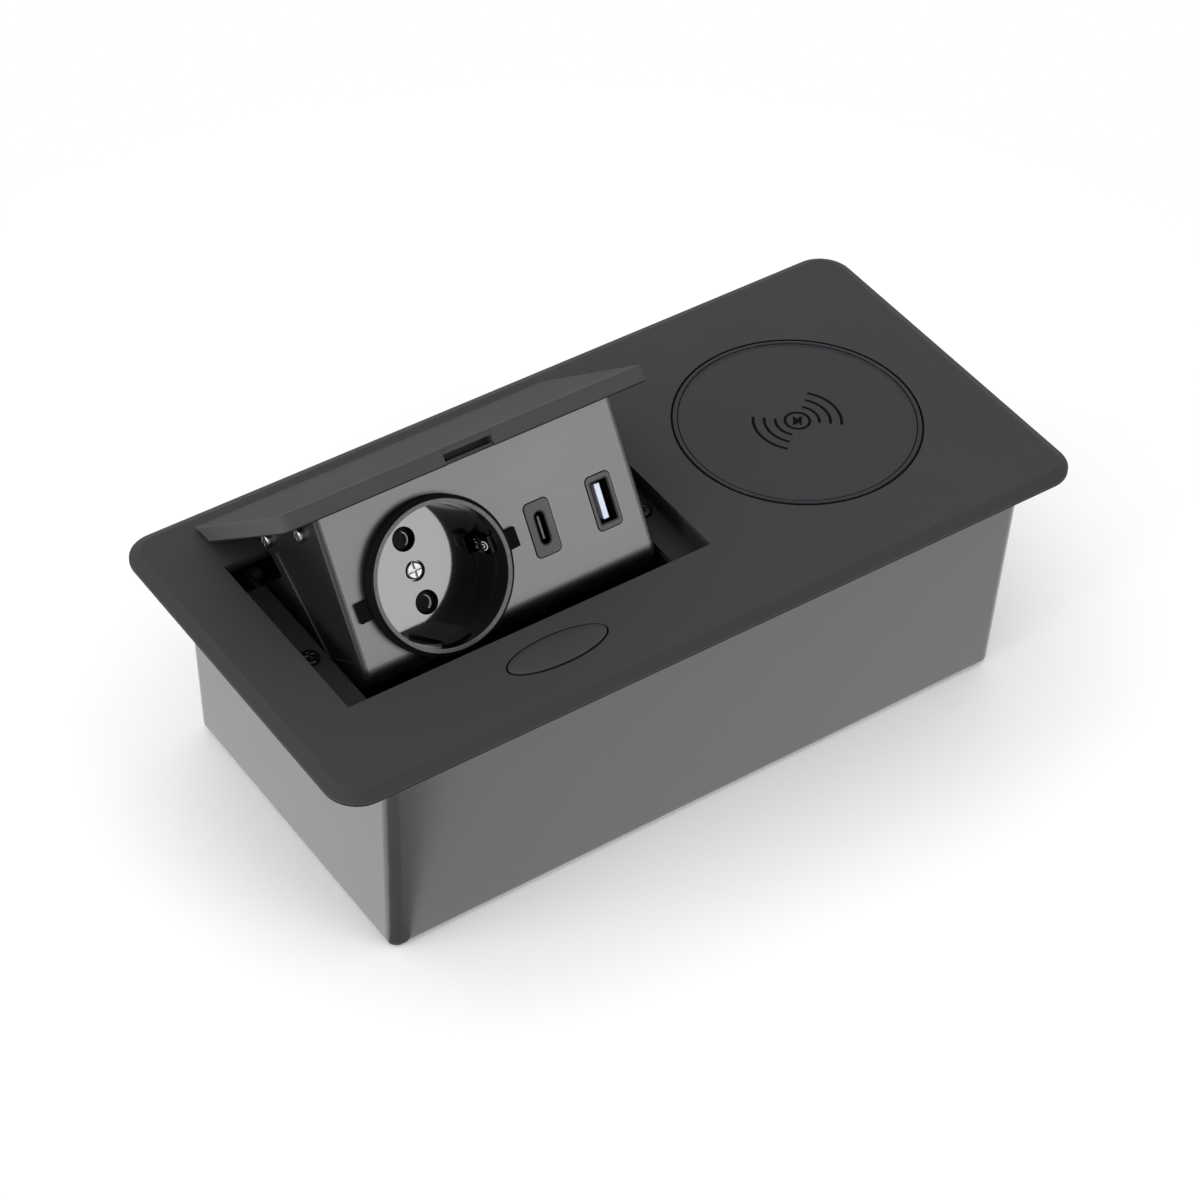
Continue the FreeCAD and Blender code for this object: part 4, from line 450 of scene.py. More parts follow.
def finish(
    name,
    tint,
    roughness,
    grain=1400.0,
    depth=0.05,
    drift=0.08,
    edge_wear_and_sheen=None,
    wander=0.08,
    brushed=False,
    **shader,
):
    """A material: wear and painted edge highlight in its colour, grain or brushing in its roughness
    and bump, rounded edges.

    grain is how fine the texture is and depth how deep, drift is how far the colour varies,
    edge_wear_and_sheen how much lighter the edges are, from wear and as painted highlight, and
    wander how far the roughness varies. Further shader values, such as Metallic or Coat_Weight, are
    set on the shader itself.
    """
    plastic = settings().plastic
    material = empty_material(name)
    material.diffuse_color = opaque(tint)
    tree = material.node_tree
    radius = plastic.edge_radius
    wear_and_sheen = {
        "Color": opaque(tint),
        "Drift": drift,
        "Edge": plastic.usual_edge_wear_and_sheen if edge_wear_and_sheen is None else edge_wear_and_sheen,
        "Radius": radius,
    }
    worn_and_lit = effect(tree, "Wear", wear_and_sheen)
    surface = {"Scale": grain, "Roughness": roughness, "Wander": wander}
    texture = effect(tree, "Brushed metal" if brushed else "Fine grain", surface)
    rounded = put(tree, "ShaderNodeBevel", {"Radius": radius}, samples=6).outputs[0]
    relief = {
        "Height": texture["Height"],
        "Normal": rounded,
        "Strength": depth,
        "Distance": 0.2 * MM,
    }
    bump = put(tree, "ShaderNodeBump", relief).outputs[0]
    values = {"Base Color": worn_and_lit["Color"], "Roughness": texture["Roughness"], "Normal": bump}
    principled = put(tree, "ShaderNodeBsdfPrincipled", values)
    for label, value in shader.items():
        principled.inputs[label.replace("_", " ")].default_value = value
    put(tree, "ShaderNodeOutputMaterial", {"Surface": principled.outputs[0]})
    return material


def dress(material, *names):
    """Give CAD nodes their material."""
    for name in names:
        slots = NODES[name].data.materials
        slots.clear()
        slots.append(material)


def shader_of(material):
    return next(node for node in material.node_tree.nodes if node.type == "BSDF_PRINCIPLED")


def base_of(material):
    """A material's node tree, and what feeds its shader's Base Color."""
    return material.node_tree, shader_of(material).inputs["Base Color"].links[0].from_socket


def repaint(material, tint):
    """Feed a material's Base Color from another socket."""
    material.node_tree.links.new(tint, shader_of(material).inputs["Base Color"])


# Mesh helpers


def object_from(name, mesh):
    """An object in the scene, from a bmesh."""
    data = bpy.data.meshes.new(name)
    mesh.to_mesh(data)
    mesh.free()
    made = bpy.data.objects.new(name, data)
    bpy.context.scene.collection.objects.link(made)
    return made


def piece_from(name, mesh, body, slot, *finishes):
    """A piece from a bmesh, with its finishes, on a body. slot is not used."""
    piece = object_from(name, mesh)
    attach(piece, body)
    for material in finishes:
        piece.data.materials.append(material)


def oval(middle, half_x, half_y, steps):
    """Points of a flat ellipse about a middle."""
    turns = [FULL_TURN * step / steps for step in range(steps)]
    return [middle + Vector((half_x * math.cos(t), half_y * math.sin(t), 0.0)) for t in turns]


def skin(mesh, rows, closed=True):
    """Quads between rows of corners, each row a loop, with the ends joined where it is closed."""
    faces = []
    for here, there in zip(rows, rows[1:] + rows[:1] if closed else rows[1:]):
        for side in range(len(here)):
            other = (side + 1) % len(here)
            corners = (here[side], there[side], there[other], here[other])
            faces.append(mesh.faces.new(corners))
    return faces


def socket_solid(mesh, middle, outline, thickness, finish_index):
    """A closed solid under an outline given across, up and out of the socket."""
    high = [
        mesh.verts.new(middle + SOCKET_ACROSS * across + SOCKET_UP * up + PANEL_OUT * out)
        for across, up, out in outline
    ]
    low = [mesh.verts.new(corner.co - PANEL_OUT * thickness) for corner in high]
    faces = [mesh.faces.new(high), mesh.faces.new(list(reversed(low)))]
    for index, corner in enumerate(low):
        after = (index + 1) % len(low)
        faces.append(mesh.faces.new((corner, low[after], high[after], high[index])))
    for face in faces:
        face.material_index = finish_index
    bmesh.ops.recalc_face_normals(mesh, faces=faces)


def ribbon(mesh, inner, outer, up, thickness):
    """A thin closed band between two outlines of equally many points, raised along up."""
    rows = []
    for near, far in zip(inner, outer):
        corners = (near, far, far + up * thickness, near + up * thickness)
        rows.append([mesh.verts.new(corner) for corner in corners])
    bmesh.ops.recalc_face_normals(mesh, faces=skin(mesh, rows))


# Pieces


class POWER_OT_plate(bpy.types.Operator):
    """Fine matte paint on the frame plate and the lid"""

    bl_idname = "power.plate"
    bl_label = "Plate and lid"

    def execute(self, context):
        look = settings().plastic
        paint = finish(
            "plate_matte",
            look.plate,
            look.plate_roughness,
            grain=2600.0,
            depth=0.06,
            edge_wear_and_sheen=0.05,
            wander=0.1,
            Specular_IOR_Level=look.matte_shine,
        )
        self.rim(paint)
        self.shade_inside(paint, look)
        dress(paint, "top_plate")
        cover = finish(
            "lid_matte",
            look.lid_edges_lit,
            look.lid_roughness,
            grain=2600.0,
            depth=0.06,
            edge_wear_and_sheen=0.03,
            Specular_IOR_Level=look.lid_shine,
        )
        self.lid_top(cover, look)
        dress(cover, "lid")
        return {"FINISHED"}

    def rim(self, material):
        """Painted shade: a slightly deeper tone on the plate's bevelled rim, and a painted shadow
        line along its foot.
        """
        flat, upright, downward = 0.985, 0.1, -0.5
        bevel_shade, foot_shadow = 0.2, 0.9
        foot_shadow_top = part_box("top_plate")[1].z - 2.5 * MM
        tree, worn_and_lit = base_of(material)
        upward = axes(tree, object_normal(tree))["Z"]
        height = axes(tree, object_place(tree))["Z"]
        bevel = product(tree, below(tree, upward, flat), above(tree, upward, upright))
        foot_shadow_mask = product(tree, below(tree, height, foot_shadow_top), above(tree, upward, downward))
        level = maths(tree, "SUBTRACT", 1.0, product(tree, bevel, bevel_shade))
        level = maths(tree, "SUBTRACT", level, product(tree, foot_shadow_mask, foot_shadow))
        repaint(material, scaled(tree, worn_and_lit, level))

    def lid_top(self, material, look):
        """A painted highlight band on the lid's top, a painted shade line on its front edge and a
        painted shadow line along its foot.
        """
        facing_out = 0.94
        highlight_back, highlight_front, line, foot_shadow_width = 7.5 * MM, 5.0 * MM, 0.75 * MM, 0.35 * MM
        tree, worn_and_lit = base_of(material)
        on_top = above(tree, along(tree, object_normal(tree), LID_OUT), facing_out)
        place = place_from(tree, LID_FRONT)
        back = along(tree, place, LID_BACK)
        band = ramp(tree, back, highlight_back, highlight_front)
        foot_shadow_mask = below(tree, along(tree, place, LID_OUT), foot_shadow_width - LID_THICK)
        # Painted shadow along the lid's foot.
        worn_and_lit = blend_colours(tree, foot_shadow_mask, worn_and_lit, opaque(look.gap))
        paint = blend_colours(tree, band, opaque(look.lid), opaque(look.lid_highlight))
        # Painted shade along the lid's front top edge.
        paint = blend_colours(tree, below(tree, back, line), paint, opaque(look.painted_shade))
        clouds = noise(tree, object_place(tree), 60.0, detail=3.0, roughness=0.6)
        paint = scaled(tree, paint, spread_about(tree, 1.0, clouds, width=0.3))
        repaint(material, blend_colours(tree, on_top, worn_and_lit, paint))

    def shade_inside(self, material, look):
        """Painted shade inside the bay: darker below the plate's face and away from its rim."""
        face_depth, rim_width = 1.4 * MM, 9.0 * MM
        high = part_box("top_plate")[1]
        tree, worn_and_lit = base_of(material)
        place = axes(tree, object_place(tree))
        inside = below(tree, place["Z"], high.z - face_depth)
        for axis, reach in (("X", high.x), ("Y", high.y)):
            near = below(tree, maths(tree, "ABSOLUTE", place[axis]), reach - rim_width)
            inside = product(tree, inside, near)
        repaint(material, blend_colours(tree, inside, worn_and_lit, opaque(look.painted_shade)))


class POWER_OT_box(bpy.types.Operator):
    """Satin plastic on the box"""

    bl_idname = "power.box"
    bl_label = "Box"

    def execute(self, context):
        look = settings().plastic
        plastic = finish(
            "box_satin",
            look.box,
            look.box_roughness,
            grain=900.0,
            depth=0.06,
            drift=0.14,
            edge_wear_and_sheen=0.06,
            wander=0.12,
            Coat_Weight=1.0,
            Coat_Roughness=0.22,
            Coat_IOR=1.46,
        )
        dress(plastic, "box_housing")
        return {"FINISHED"}


class POWER_OT_button(bpy.types.Operator):
    """Matte plastic on the release button"""

    bl_idname = "power.button"
    bl_label = "Release button"

    def execute(self, context):
        look = settings().plastic
        plastic = finish(
            "button_matte", look.button, 0.55, grain=3000.0, Specular_IOR_Level=look.matte_shine
        )
        dress(plastic, "button")
        return {"FINISHED"}


class POWER_OT_shell(bpy.types.Operator):
    """Dark smooth moulding on the module's shell and back cover"""

    bl_idname = "power.shell"
    bl_label = "Module shell"

    def execute(self, context):
        look = settings().plastic
        moulding = finish("module_dark", look.shell, 0.3, grain=1100.0, edge_wear_and_sheen=0.1)
        dress(moulding, "module_shell", "back_cover")
        return {"FINISHED"}


class POWER_OT_panel(bpy.types.Operator):
    """Satin brushed metal on the face panel"""

    bl_idname = "power.panel"
    bl_label = "Face panel"

    def execute(self, context):
        look = settings().metal
        metal = finish(
            "panel_brushed",
            look.panel,
            look.panel_roughness,
            grain=1.0,
            depth=0.1,
            drift=0.16,
            # A strong edge setting: paints a light highlight line along the panel's folds.
            edge_wear_and_sheen=0.3,
            brushed=True,
            Metallic=1.0,
        )
        dress(metal, "front_panel")
        return {"FINISHED"}


class POWER_OT_socket(bpy.types.Operator):
    """Glossy plastic on the socket, satin on its raised rim, and the metal inside it"""

    bl_idname = "power.socket"
    bl_label = "Socket"

    def execute(self, context):
        look = settings()
        gloss = finish(
            "socket_gloss",
            look.plastic.socket,
            0.16,
            grain=500.0,
            depth=0.015,
            edge_wear_and_sheen=0.0,
            wander=0.05,
            Specular_IOR_Level=0.09,
            Coat_Roughness=0.06,
            Coat_IOR=1.75,
        )
        self.zones(gloss, look.plastic.rim)
        dress(gloss, "socket_insert")
        dress(finish("socket_back_black", look.plastic.socket, 0.45), "socket_back")
        dress(finish("contact_brass", look.metal.brass, 0.3, Metallic=1.0), "contact_sleeves")
        # Painted dark reflection: the clips' metal is made near black.
        clips = finish("earth_clip_steel", look.metal.clip, 0.25, edge_wear_and_sheen=0.1, Metallic=1.0)
        dress(clips, "earth_clips")
        bright = finish(
            "centre_screw_nickel", look.metal.bright, 0.3, grain=1500.0, depth=0.5, Metallic=1.0
        )
        dress(bright, "centre_screw")
        return {"FINISHED"}

    def zones(self, material, grey):
        """Polished floor and rib ends, grey satin rim, matte collar and lugs outside the rim."""
        collar, rim_edge = RIM_OUTER + 0.08 * MM, RIM_OUTER - 0.2 * MM
        well_edge, well_top, facing_out = RIM_OUTER - 1.0 * MM, 3.0 * MM, 0.9
        matte, satin = 0.75, 0.24
        tree, worn_and_lit = base_of(material)
        inputs = shader_of(material).inputs
        place = place_from(tree, SOCKET)
        rise = along(tree, place, PANEL_OUT)
        reach = vectors(tree, "LENGTH", vectors(tree, "CROSS_PRODUCT", place, PANEL_OUT))
        outside = above(tree, reach, collar)
        rim = product(tree, above(tree, rise, RIM_FACE), below(tree, reach, rim_edge))
        floor = product(
            tree,
            below(tree, rise, well_top),
            above(tree, along(tree, object_normal(tree), PANEL_OUT), facing_out),
            below(tree, reach, well_edge),
        )
        rough = inputs["Roughness"].links[0].from_socket
        rough = maths(tree, "ADD", rough, product(tree, outside, matte))
        rough = maths(tree, "ADD", rough, product(tree, rim, satin))
        grain = noise(tree, object_place(tree), 2300.0, detail=3.0, roughness=0.75)
        speckled = blend_colours(tree, grain, (0.0, 0.0, 0.0, 1.0), opaque(grey))
        repaint(material, blend_colours(tree, rim, worn_and_lit, speckled))
        tree.links.new(rough, inputs["Roughness"])
        tree.links.new(floor, inputs["Coat Weight"])


class POWER_OT_shutters(bpy.types.Operator):
    """Safety shutters behind the socket's two pin holes, each with a curved lip painted pale as a
    highlight
    """

    bl_idname = "power.shutters"
    bl_label = "Pin shutters"

    def execute(self, context):
        look = settings().plastic
        drop = 1.9 * MM
        mesh = bmesh.new()
        for side in (-1, 1):
            hole = SOCKET + SOCKET_UP * side * PIN_PITCH / 2
            self.shutter(mesh, hole + PANEL_OUT * (WELL_FLOOR - drop))
        black = finish("shutter_black", look.socket, 0.5, Specular_IOR_Level=0.1)
        # Painted highlight: the pale lip stands in for a glint.
        glint = finish("shutter_lip", look.glint_lip, 0.3, edge_wear_and_sheen=0.4)
        piece_from("pin_shutters", mesh, "module", "socket_gloss", black, glint)
        return {"FINISHED"}

    def shutter(self, mesh, middle):
        """A round plate that slopes down to one side, and the lip where the pin pushes it away,
        painted pale as a glint.
        """
        radius, thick, slope, steps = PIN_HOLE - 0.03 * MM, 0.5 * MM, 0.16, 40
        plate = []
        for step in range(steps):
            turn = FULL_TURN * step / steps
            x, y = radius * math.cos(turn), radius * math.sin(turn)
            plate.append((x, y, thick - slope * x))
        socket_solid(mesh, middle, plate, thick, 0)
        lip_outer, lip_inner, lip_aside = 2.3 * MM, 2.16 * MM, 0.75 * MM
        lip_top, lip_depth, half_arc, lip_steps = 1.3 * MM, 1.1 * MM, 62.0, 12
        glint_lip = []
        for reach, way in ((lip_outer, 1.0), (lip_inner, -1.0)):
            for step in range(lip_steps + 1):
                turn = way * math.radians(-half_arc + 2 * half_arc * step / lip_steps)
                glint_lip.append((reach * math.cos(turn) - lip_aside, reach * math.sin(turn), lip_top))
        socket_solid(mesh, middle, glint_lip, lip_depth, 1)


class POWER_OT_clip_lines(bpy.types.Operator):
    """Pressed lines on the earth clips: two nested loops, open towards the floor of the socket,
    painted pale as highlights
    """

    bl_idname = "power.clip_lines"
    bl_label = "Earth clip lines"

    def execute(self, context):
        look = settings().metal
        curve = bpy.data.curves.new("earth_clip_lines", "CURVE")
        curve.dimensions = "3D"
        curve.bevel_depth = 0.16 * MM
        curve.bevel_resolution = 2
        curve.use_fill_caps = True
        for side in (-1, 1):
            for loop in CLIP_LOOPS:
                self.loop(curve, side, *loop)
        lines = bpy.data.objects.new("earth_clip_lines", curve)
        context.scene.collection.objects.link(lines)
        # Painted highlight: the lines are pale, not metal, to show light they would catch.
        curve.materials.append(finish("clip_line_steel", look.clip_glint, 0.25, edge_wear_and_sheen=0.2))
        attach(lines, "module")
        return {"FINISHED"}

    def loop(self, curve, side, half, shallow, deep):
        """One loop on the strip's inner face: up one side, round near the mouth, and back down."""
        steps = 8
        route = [(-half, deep)]
        for step in range(steps + 1):
            turn = math.pi * step / steps
            route.append((-half * math.cos(turn), shallow + half - half * math.sin(turn)))
        route.append((half, deep))
        spline = curve.splines.new("POLY")
        spline.points.add(len(route) - 1)
        for point, (up, depth) in zip(spline.points, route):
            across = SOCKET_ACROSS * side * self.reach(depth)
            place = SOCKET + across + SOCKET_UP * up - PANEL_OUT * depth
            point.co = (*place, 1.0)

    def reach(self, depth):
        """Distance of the strip's inner face from the socket's axis, at a depth below the panel."""
        for (top, first), (bottom, last) in zip(CLIP_FACE, CLIP_FACE[1:]):
            if depth <= bottom * MM:
                return (first + (last - first) * (depth / MM - top) / (bottom - top)) * MM
        return CLIP_FACE[-1][1] * MM


class POWER_OT_ports(bpy.types.Operator):
    """Grained bezels, plated shells and moulded tongues of the two USB ports"""

    bl_idname = "power.ports"
    bl_label = "USB ports"

    def execute(self, context):
        look = settings()
        bezel = finish(
            "bezel_grey",
            look.plastic.bezel,
            0.6,
            grain=3800.0,
            depth=0.5,
            drift=0.1,
            edge_wear_and_sheen=0.1,
            wander=0.2,
        )
        self.speckle(bezel)
        dress(bezel, "usb_a_bezel", "usb_c_bezel")
        shells = finish("port_steel", look.metal.port, 0.3, edge_wear_and_sheen=0.25, Metallic=1.0)
        dress(shells, "usb_a_shell", "usb_c_shell")
        dress(finish("tongue_pale", look.plastic.tongue_a, 0.4, edge_wear_and_sheen=0.0), "usb_a_tongue")
        dress(finish("tongue_black", look.plastic.tongue_c, 0.35), "usb_c_tongue")
        return {"FINISHED"}

    def speckle(self, material):
        """Pale and dark flecks of a spark-eroded mould face."""
        tree, worn_and_lit = base_of(material)
        flecks = noise(tree, object_place(tree), 4200.0, detail=2.0, roughness=0.6)
        repaint(material, scaled(tree, worn_and_lit, spread_about(tree, 1.0, flecks, width=1.1)))


class POWER_OT_charger(bpy.types.Operator):
    """Cover, trim ring, coil and ferrite of the charging pad"""

    bl_idname = "power.charger"
    bl_label = "Charging pad"

    def execute(self, context):
        look = settings()
        cover = finish(
            "pad_matte",
            look.plastic.pad,
            0.5,
            grain=2600.0,
            depth=0.04,
            wander=0.06,
            Specular_IOR_Level=look.plastic.matte_shine,
        )
        dress(cover, "charger_cover")
        ring = finish("ring_gloss", look.plastic.ring, 0.22, grain=900.0, depth=0.02, edge_wear_and_sheen=0.2)
        dress(ring, "charger_ring")
        coil = finish("coil_copper", look.metal.copper, 0.32, edge_wear_and_sheen=0.3, Metallic=1.0)
        dress(coil, "charger_coil")
        dress(finish("ferrite_grey", look.plastic.ferrite, 0.55), "charger_ferrite")
        return {"FINISHED"}


class POWER_OT_bead(bpy.types.Operator):
    """Rounded bead on top of the pad's trim ring, and the border of the pad's cover inside it"""

    bl_idname = "power.bead"
    bl_label = "Pad bead"

    def execute(self, context):
        look = settings().plastic
        inset, sink, crown, parts = 0.3 * MM, 0.02 * MM, 0.22 * MM, 8
        low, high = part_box("charger_ring")
        middle = (low + high) / 2
        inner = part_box("charger_cover")[1].x - middle.x + PAD_BORDER + inset
        outer = high.x - middle.x - inset
        mesh = bmesh.new()
        rows = []
        for step in range(ROUND_STEPS):
            turn = FULL_TURN * step / ROUND_STEPS
            row = []
            for part in range(parts + 1):
                lean = math.pi * part / parts
                radius = (inner + outer) / 2 + (outer - inner) / 2 * math.cos(lean)
                x, y = middle.x + radius * math.cos(turn), middle.y + radius * math.sin(turn)
                row.append(mesh.verts.new((x, y, high.z - sink + crown * math.sin(lean))))
            rows.append(row)
        faces = skin(mesh, rows)
        for face in faces:
            face.smooth = True
        bmesh.ops.recalc_face_normals(mesh, faces=faces)
        gloss = finish("bead_gloss", look.ring, 0.12, edge_wear_and_sheen=0.1, Specular_IOR_Level=0.32)
        piece_from("charger_ring_bead", mesh, "housing", "ring_gloss", gloss)
        self.border(Vector((middle.x, middle.y, high.z)), look)
        return {"FINISHED"}

    def border(self, middle, look):
        """A flat band of the cover's own finish over the joint and the inside of the ring."""
        overlap = 0.2 * MM
        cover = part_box("charger_cover")[1].x - middle.x
        outlines = [
            oval(middle, radius, radius, ROUND_STEPS)
            for radius in (cover - overlap, cover + PAD_BORDER)
        ]
        mesh = bmesh.new()
        ribbon(mesh, *outlines, UP, FILM)
        matte = finish(
            "border_matte",
            look.pad,
            0.5,
            grain=2600.0,
            edge_wear_and_sheen=0.0,
            Specular_IOR_Level=look.matte_shine,
        )
        piece_from("pad_border", mesh, "housing", "pad_matte", matte)


class POWER_OT_steel(bpy.types.Operator):
    """Plated steel of the pivot, the latch, the screws and the springs"""

    bl_idname = "power.steel"
    bl_label = "Metalwork"

    def execute(self, context):
        look = settings().metal
        steel = finish(
            "bracket_steel",
            look.steel,
            0.34,
            grain=1.0,
            drift=0.2,
            wander=0.2,
            brushed=True,
            Metallic=1.0,
        )
        dress(steel, "pivot_bracket_left", "pivot_bracket_right", "pivot_shaft", "shaft_clips")
        dress(steel, "catch_plate")
        dress(finish("black_steel", look.black, 0.45, edge_wear_and_sheen=0.3, Metallic=1.0), "lid_striker")
        screws = finish(
            "screw_steel", look.screw, 0.3, grain=800.0, depth=0.1, edge_wear_and_sheen=0.4, Metallic=1.0
        )
        dress(screws, "ledge_screws", "cover_screws", "latch_screws")
        ear_screws = finish(
            "ear_screw_steel", look.ear_screw, 0.28, grain=800.0, edge_wear_and_sheen=0.4, Metallic=1.0
        )
        dress(ear_screws, "lid_screws")
        spring = finish("spring_steel", look.spring, 0.25, drift=0.2, Metallic=1.0)
        dress(spring, "button_spring", "lift_spring")
        return {"FINISHED"}


class POWER_OT_inside(bpy.types.Operator):
    """Boards, terminal block, latch guide and rubber pieces inside the box"""

    bl_idname = "power.inside"
    bl_label = "Inside of the box"

    def execute(self, context):
        look = settings().plastic
        board = finish("board_green", look.board, 0.4, grain=300.0, depth=0.2, drift=0.35)
        dress(board, "supply_board", "usb_board", "charger_board")
        dress(finish("terminal_grey", look.terminal, 0.45), "terminal_block")
        dress(finish("guide_nylon", look.nylon, 0.5, drift=0.12), "latch_frame")
        rubber = finish("rubber_black", look.rubber, 0.72, grain=1800.0, depth=0.3, edge_wear_and_sheen=0.03)
        dress(rubber, "cable_grommet", "stop_buffers")
        return {"FINISHED"}


class POWER_OT_gaps(bpy.types.Operator):
    """Black bands that paint shadow into the joints round the button, the two USB ports and the
    ring of the charging pad
    """

    bl_idname = "power.gaps"
    bl_label = "Dark joints"

    def execute(self, context):
        look = settings().plastic
        # Painted shadow: flat black bands lie over and beside the joints.
        painted_shadow = finish("gap_black", look.gap, 0.9, edge_wear_and_sheen=0.0, Specular_IOR_Level=0.03)
        for name, body, slot, bands in (
            ("button_gap", "housing", "button_matte", self.button_bands()),
            ("pad_gaps", "housing", "pad_matte", self.pad_bands()),
            ("port_gaps", "module", "bezel_grey", self.port_bands()),
        ):
            mesh = bmesh.new()
            for inner, outer, up in bands:
                ribbon(mesh, inner, outer, up, FILM)
            piece_from(name, mesh, body, slot, painted_shadow)
        return {"FINISHED"}

    def flat_band(self, middle, half_x, half_y, near, far):
        """A band round an oval, from near to far outside its edge."""
        inner = oval(middle, half_x + near, half_y + near, OVAL_STEPS)
        return inner, oval(middle, half_x + far, half_y + far, OVAL_STEPS), UP

    def button_bands(self):
        low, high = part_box("button")
        middle = Vector(((low.x + high.x) / 2, BUTTON_Y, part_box("top_plate")[1].z))
        near, far = 0.3 * MM, 0.62 * MM
        return [self.flat_band(middle, (high.x - low.x) / 2, BUTTON_HALF, near, far)]

    def pad_bands(self):
        """Painted shadow bands: the joint outside the ring, and the one between it and the pad's
        border.
        """
        ring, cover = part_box("charger_ring"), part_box("charger_cover")
        middle = (ring[0] + ring[1]) / 2
        outside, inside, tuck = 0.62 * MM, 0.3 * MM, 0.25 * MM
        bands = []
        for radius, height, width in (
            ((ring[1].x - ring[0].x) / 2 - tuck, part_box("top_plate")[1].z, outside),
            ((cover[1].x - cover[0].x) / 2 + PAD_BORDER, ring[1].z, inside),
        ):
            place = Vector((middle.x, middle.y, height))
            bands.append(self.flat_band(place, radius, radius, 0.0, width))
        return bands

    def port_bands(self):
        width = 0.3 * MM
        bands = []
        for name in ("usb_a_bezel", "usb_c_bezel"):
            low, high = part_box(name)
            across = (low.x + high.x) / 2 - PANEL_TOP.x
            outlines = [self.port_outline(across, spread) for spread in (0.0, width)]
            bands.append((*outlines, PANEL_OUT))
        return bands

    def port_outline(self, across, spread):
        """Rounded outline of a bezel on the panel, so far outside its edge."""
        steps, lift = 48, 0.01 * MM
        middle = PANEL_TOP + Vector((across, 0.0, 0.0)) - PANEL_UP * BEZEL_DROP + PANEL_OUT * lift
        straight = [half - BEZEL_CORNER for half in BEZEL_HALF]
        corner = BEZEL_CORNER + spread
        points = []
        for step in range(steps):
            turn = FULL_TURN * (step + 0.5) / steps
            x = math.copysign(straight[0], math.cos(turn)) + corner * math.cos(turn)
            y = math.copysign(straight[1], math.sin(turn)) + corner * math.sin(turn)
            points.append(middle + Vector((x, 0.0, 0.0)) + PANEL_UP * y)
        return points


class POWER_OT_symbol(bpy.types.Operator):
    """Print the charging symbol on the middle of the pad's cover"""

    bl_idname = "power.symbol"
    bl_label = "Charging symbol"

    def execute(self, context):
        look = settings().symbol
        low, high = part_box("charger_cover")
        middle = Vector(((low.x + high.x) / 2, (low.y + high.y) / 2, high.z))
        mesh = bmesh.new()
        self.band(mesh, look, look.circle, 0.0, FULL_TURN)
        for index in range(look.arcs):
            radius = look.first_arc + index * look.arc_step
            for facing in (0.0, math.pi):
                self.band(mesh, look, radius, facing - look.sweep, facing + look.sweep)
        for half in BOLT:
            outline = [(x * look.circle, y * look.circle) for x, y in half]
            self.slab(mesh, outline, look.thickness)
        bmesh.ops.translate(mesh, verts=mesh.verts, vec=middle)
        ink = finish("symbol_ink", look.ink, 0.8, edge_wear_and_sheen=0.0, Specular_IOR_Level=0.05)
        piece_from("charging_symbol", mesh, "housing", "pad_matte", ink)
        return {"FINISHED"}

    def slab(self, mesh, outline, height):
        """A thin closed slab over an outline, standing on zero."""
        low = [mesh.verts.new((x, y, 0.0)) for x, y in outline]
        high = [mesh.verts.new((x, y, height)) for x, y in outline]
        mesh.faces.new(high)
        mesh.faces.new(list(reversed(low)))
        for index, corner in enumerate(low):
            after = (index + 1) % len(low)
            mesh.faces.new((corner, low[after], high[after], high[index]))

    def band(self, mesh, look, radius, start, end):
        """A curved line of the printed width, as quads so that it stays clean when triangulated."""
        whole = math.isclose(end - start, FULL_TURN)
        near, far, top = radius - look.line / 2, radius + look.line / 2, look.thickness
        rows = []
        for step in range(look.points if whole else look.points + 1):
            turn = start + (end - start) * step / look.points
            x, y = math.cos(turn), math.sin(turn)
            corners = ((near, 0.0), (far, 0.0), (far, top), (near, top))
            rows.append([mesh.verts.new((x * reach, y * reach, z)) for reach, z in corners])
        skin(mesh, rows, closed=whole)
        if not whole:
            mesh.faces.new(rows[0])
            mesh.faces.new(list(reversed(rows[-1])))


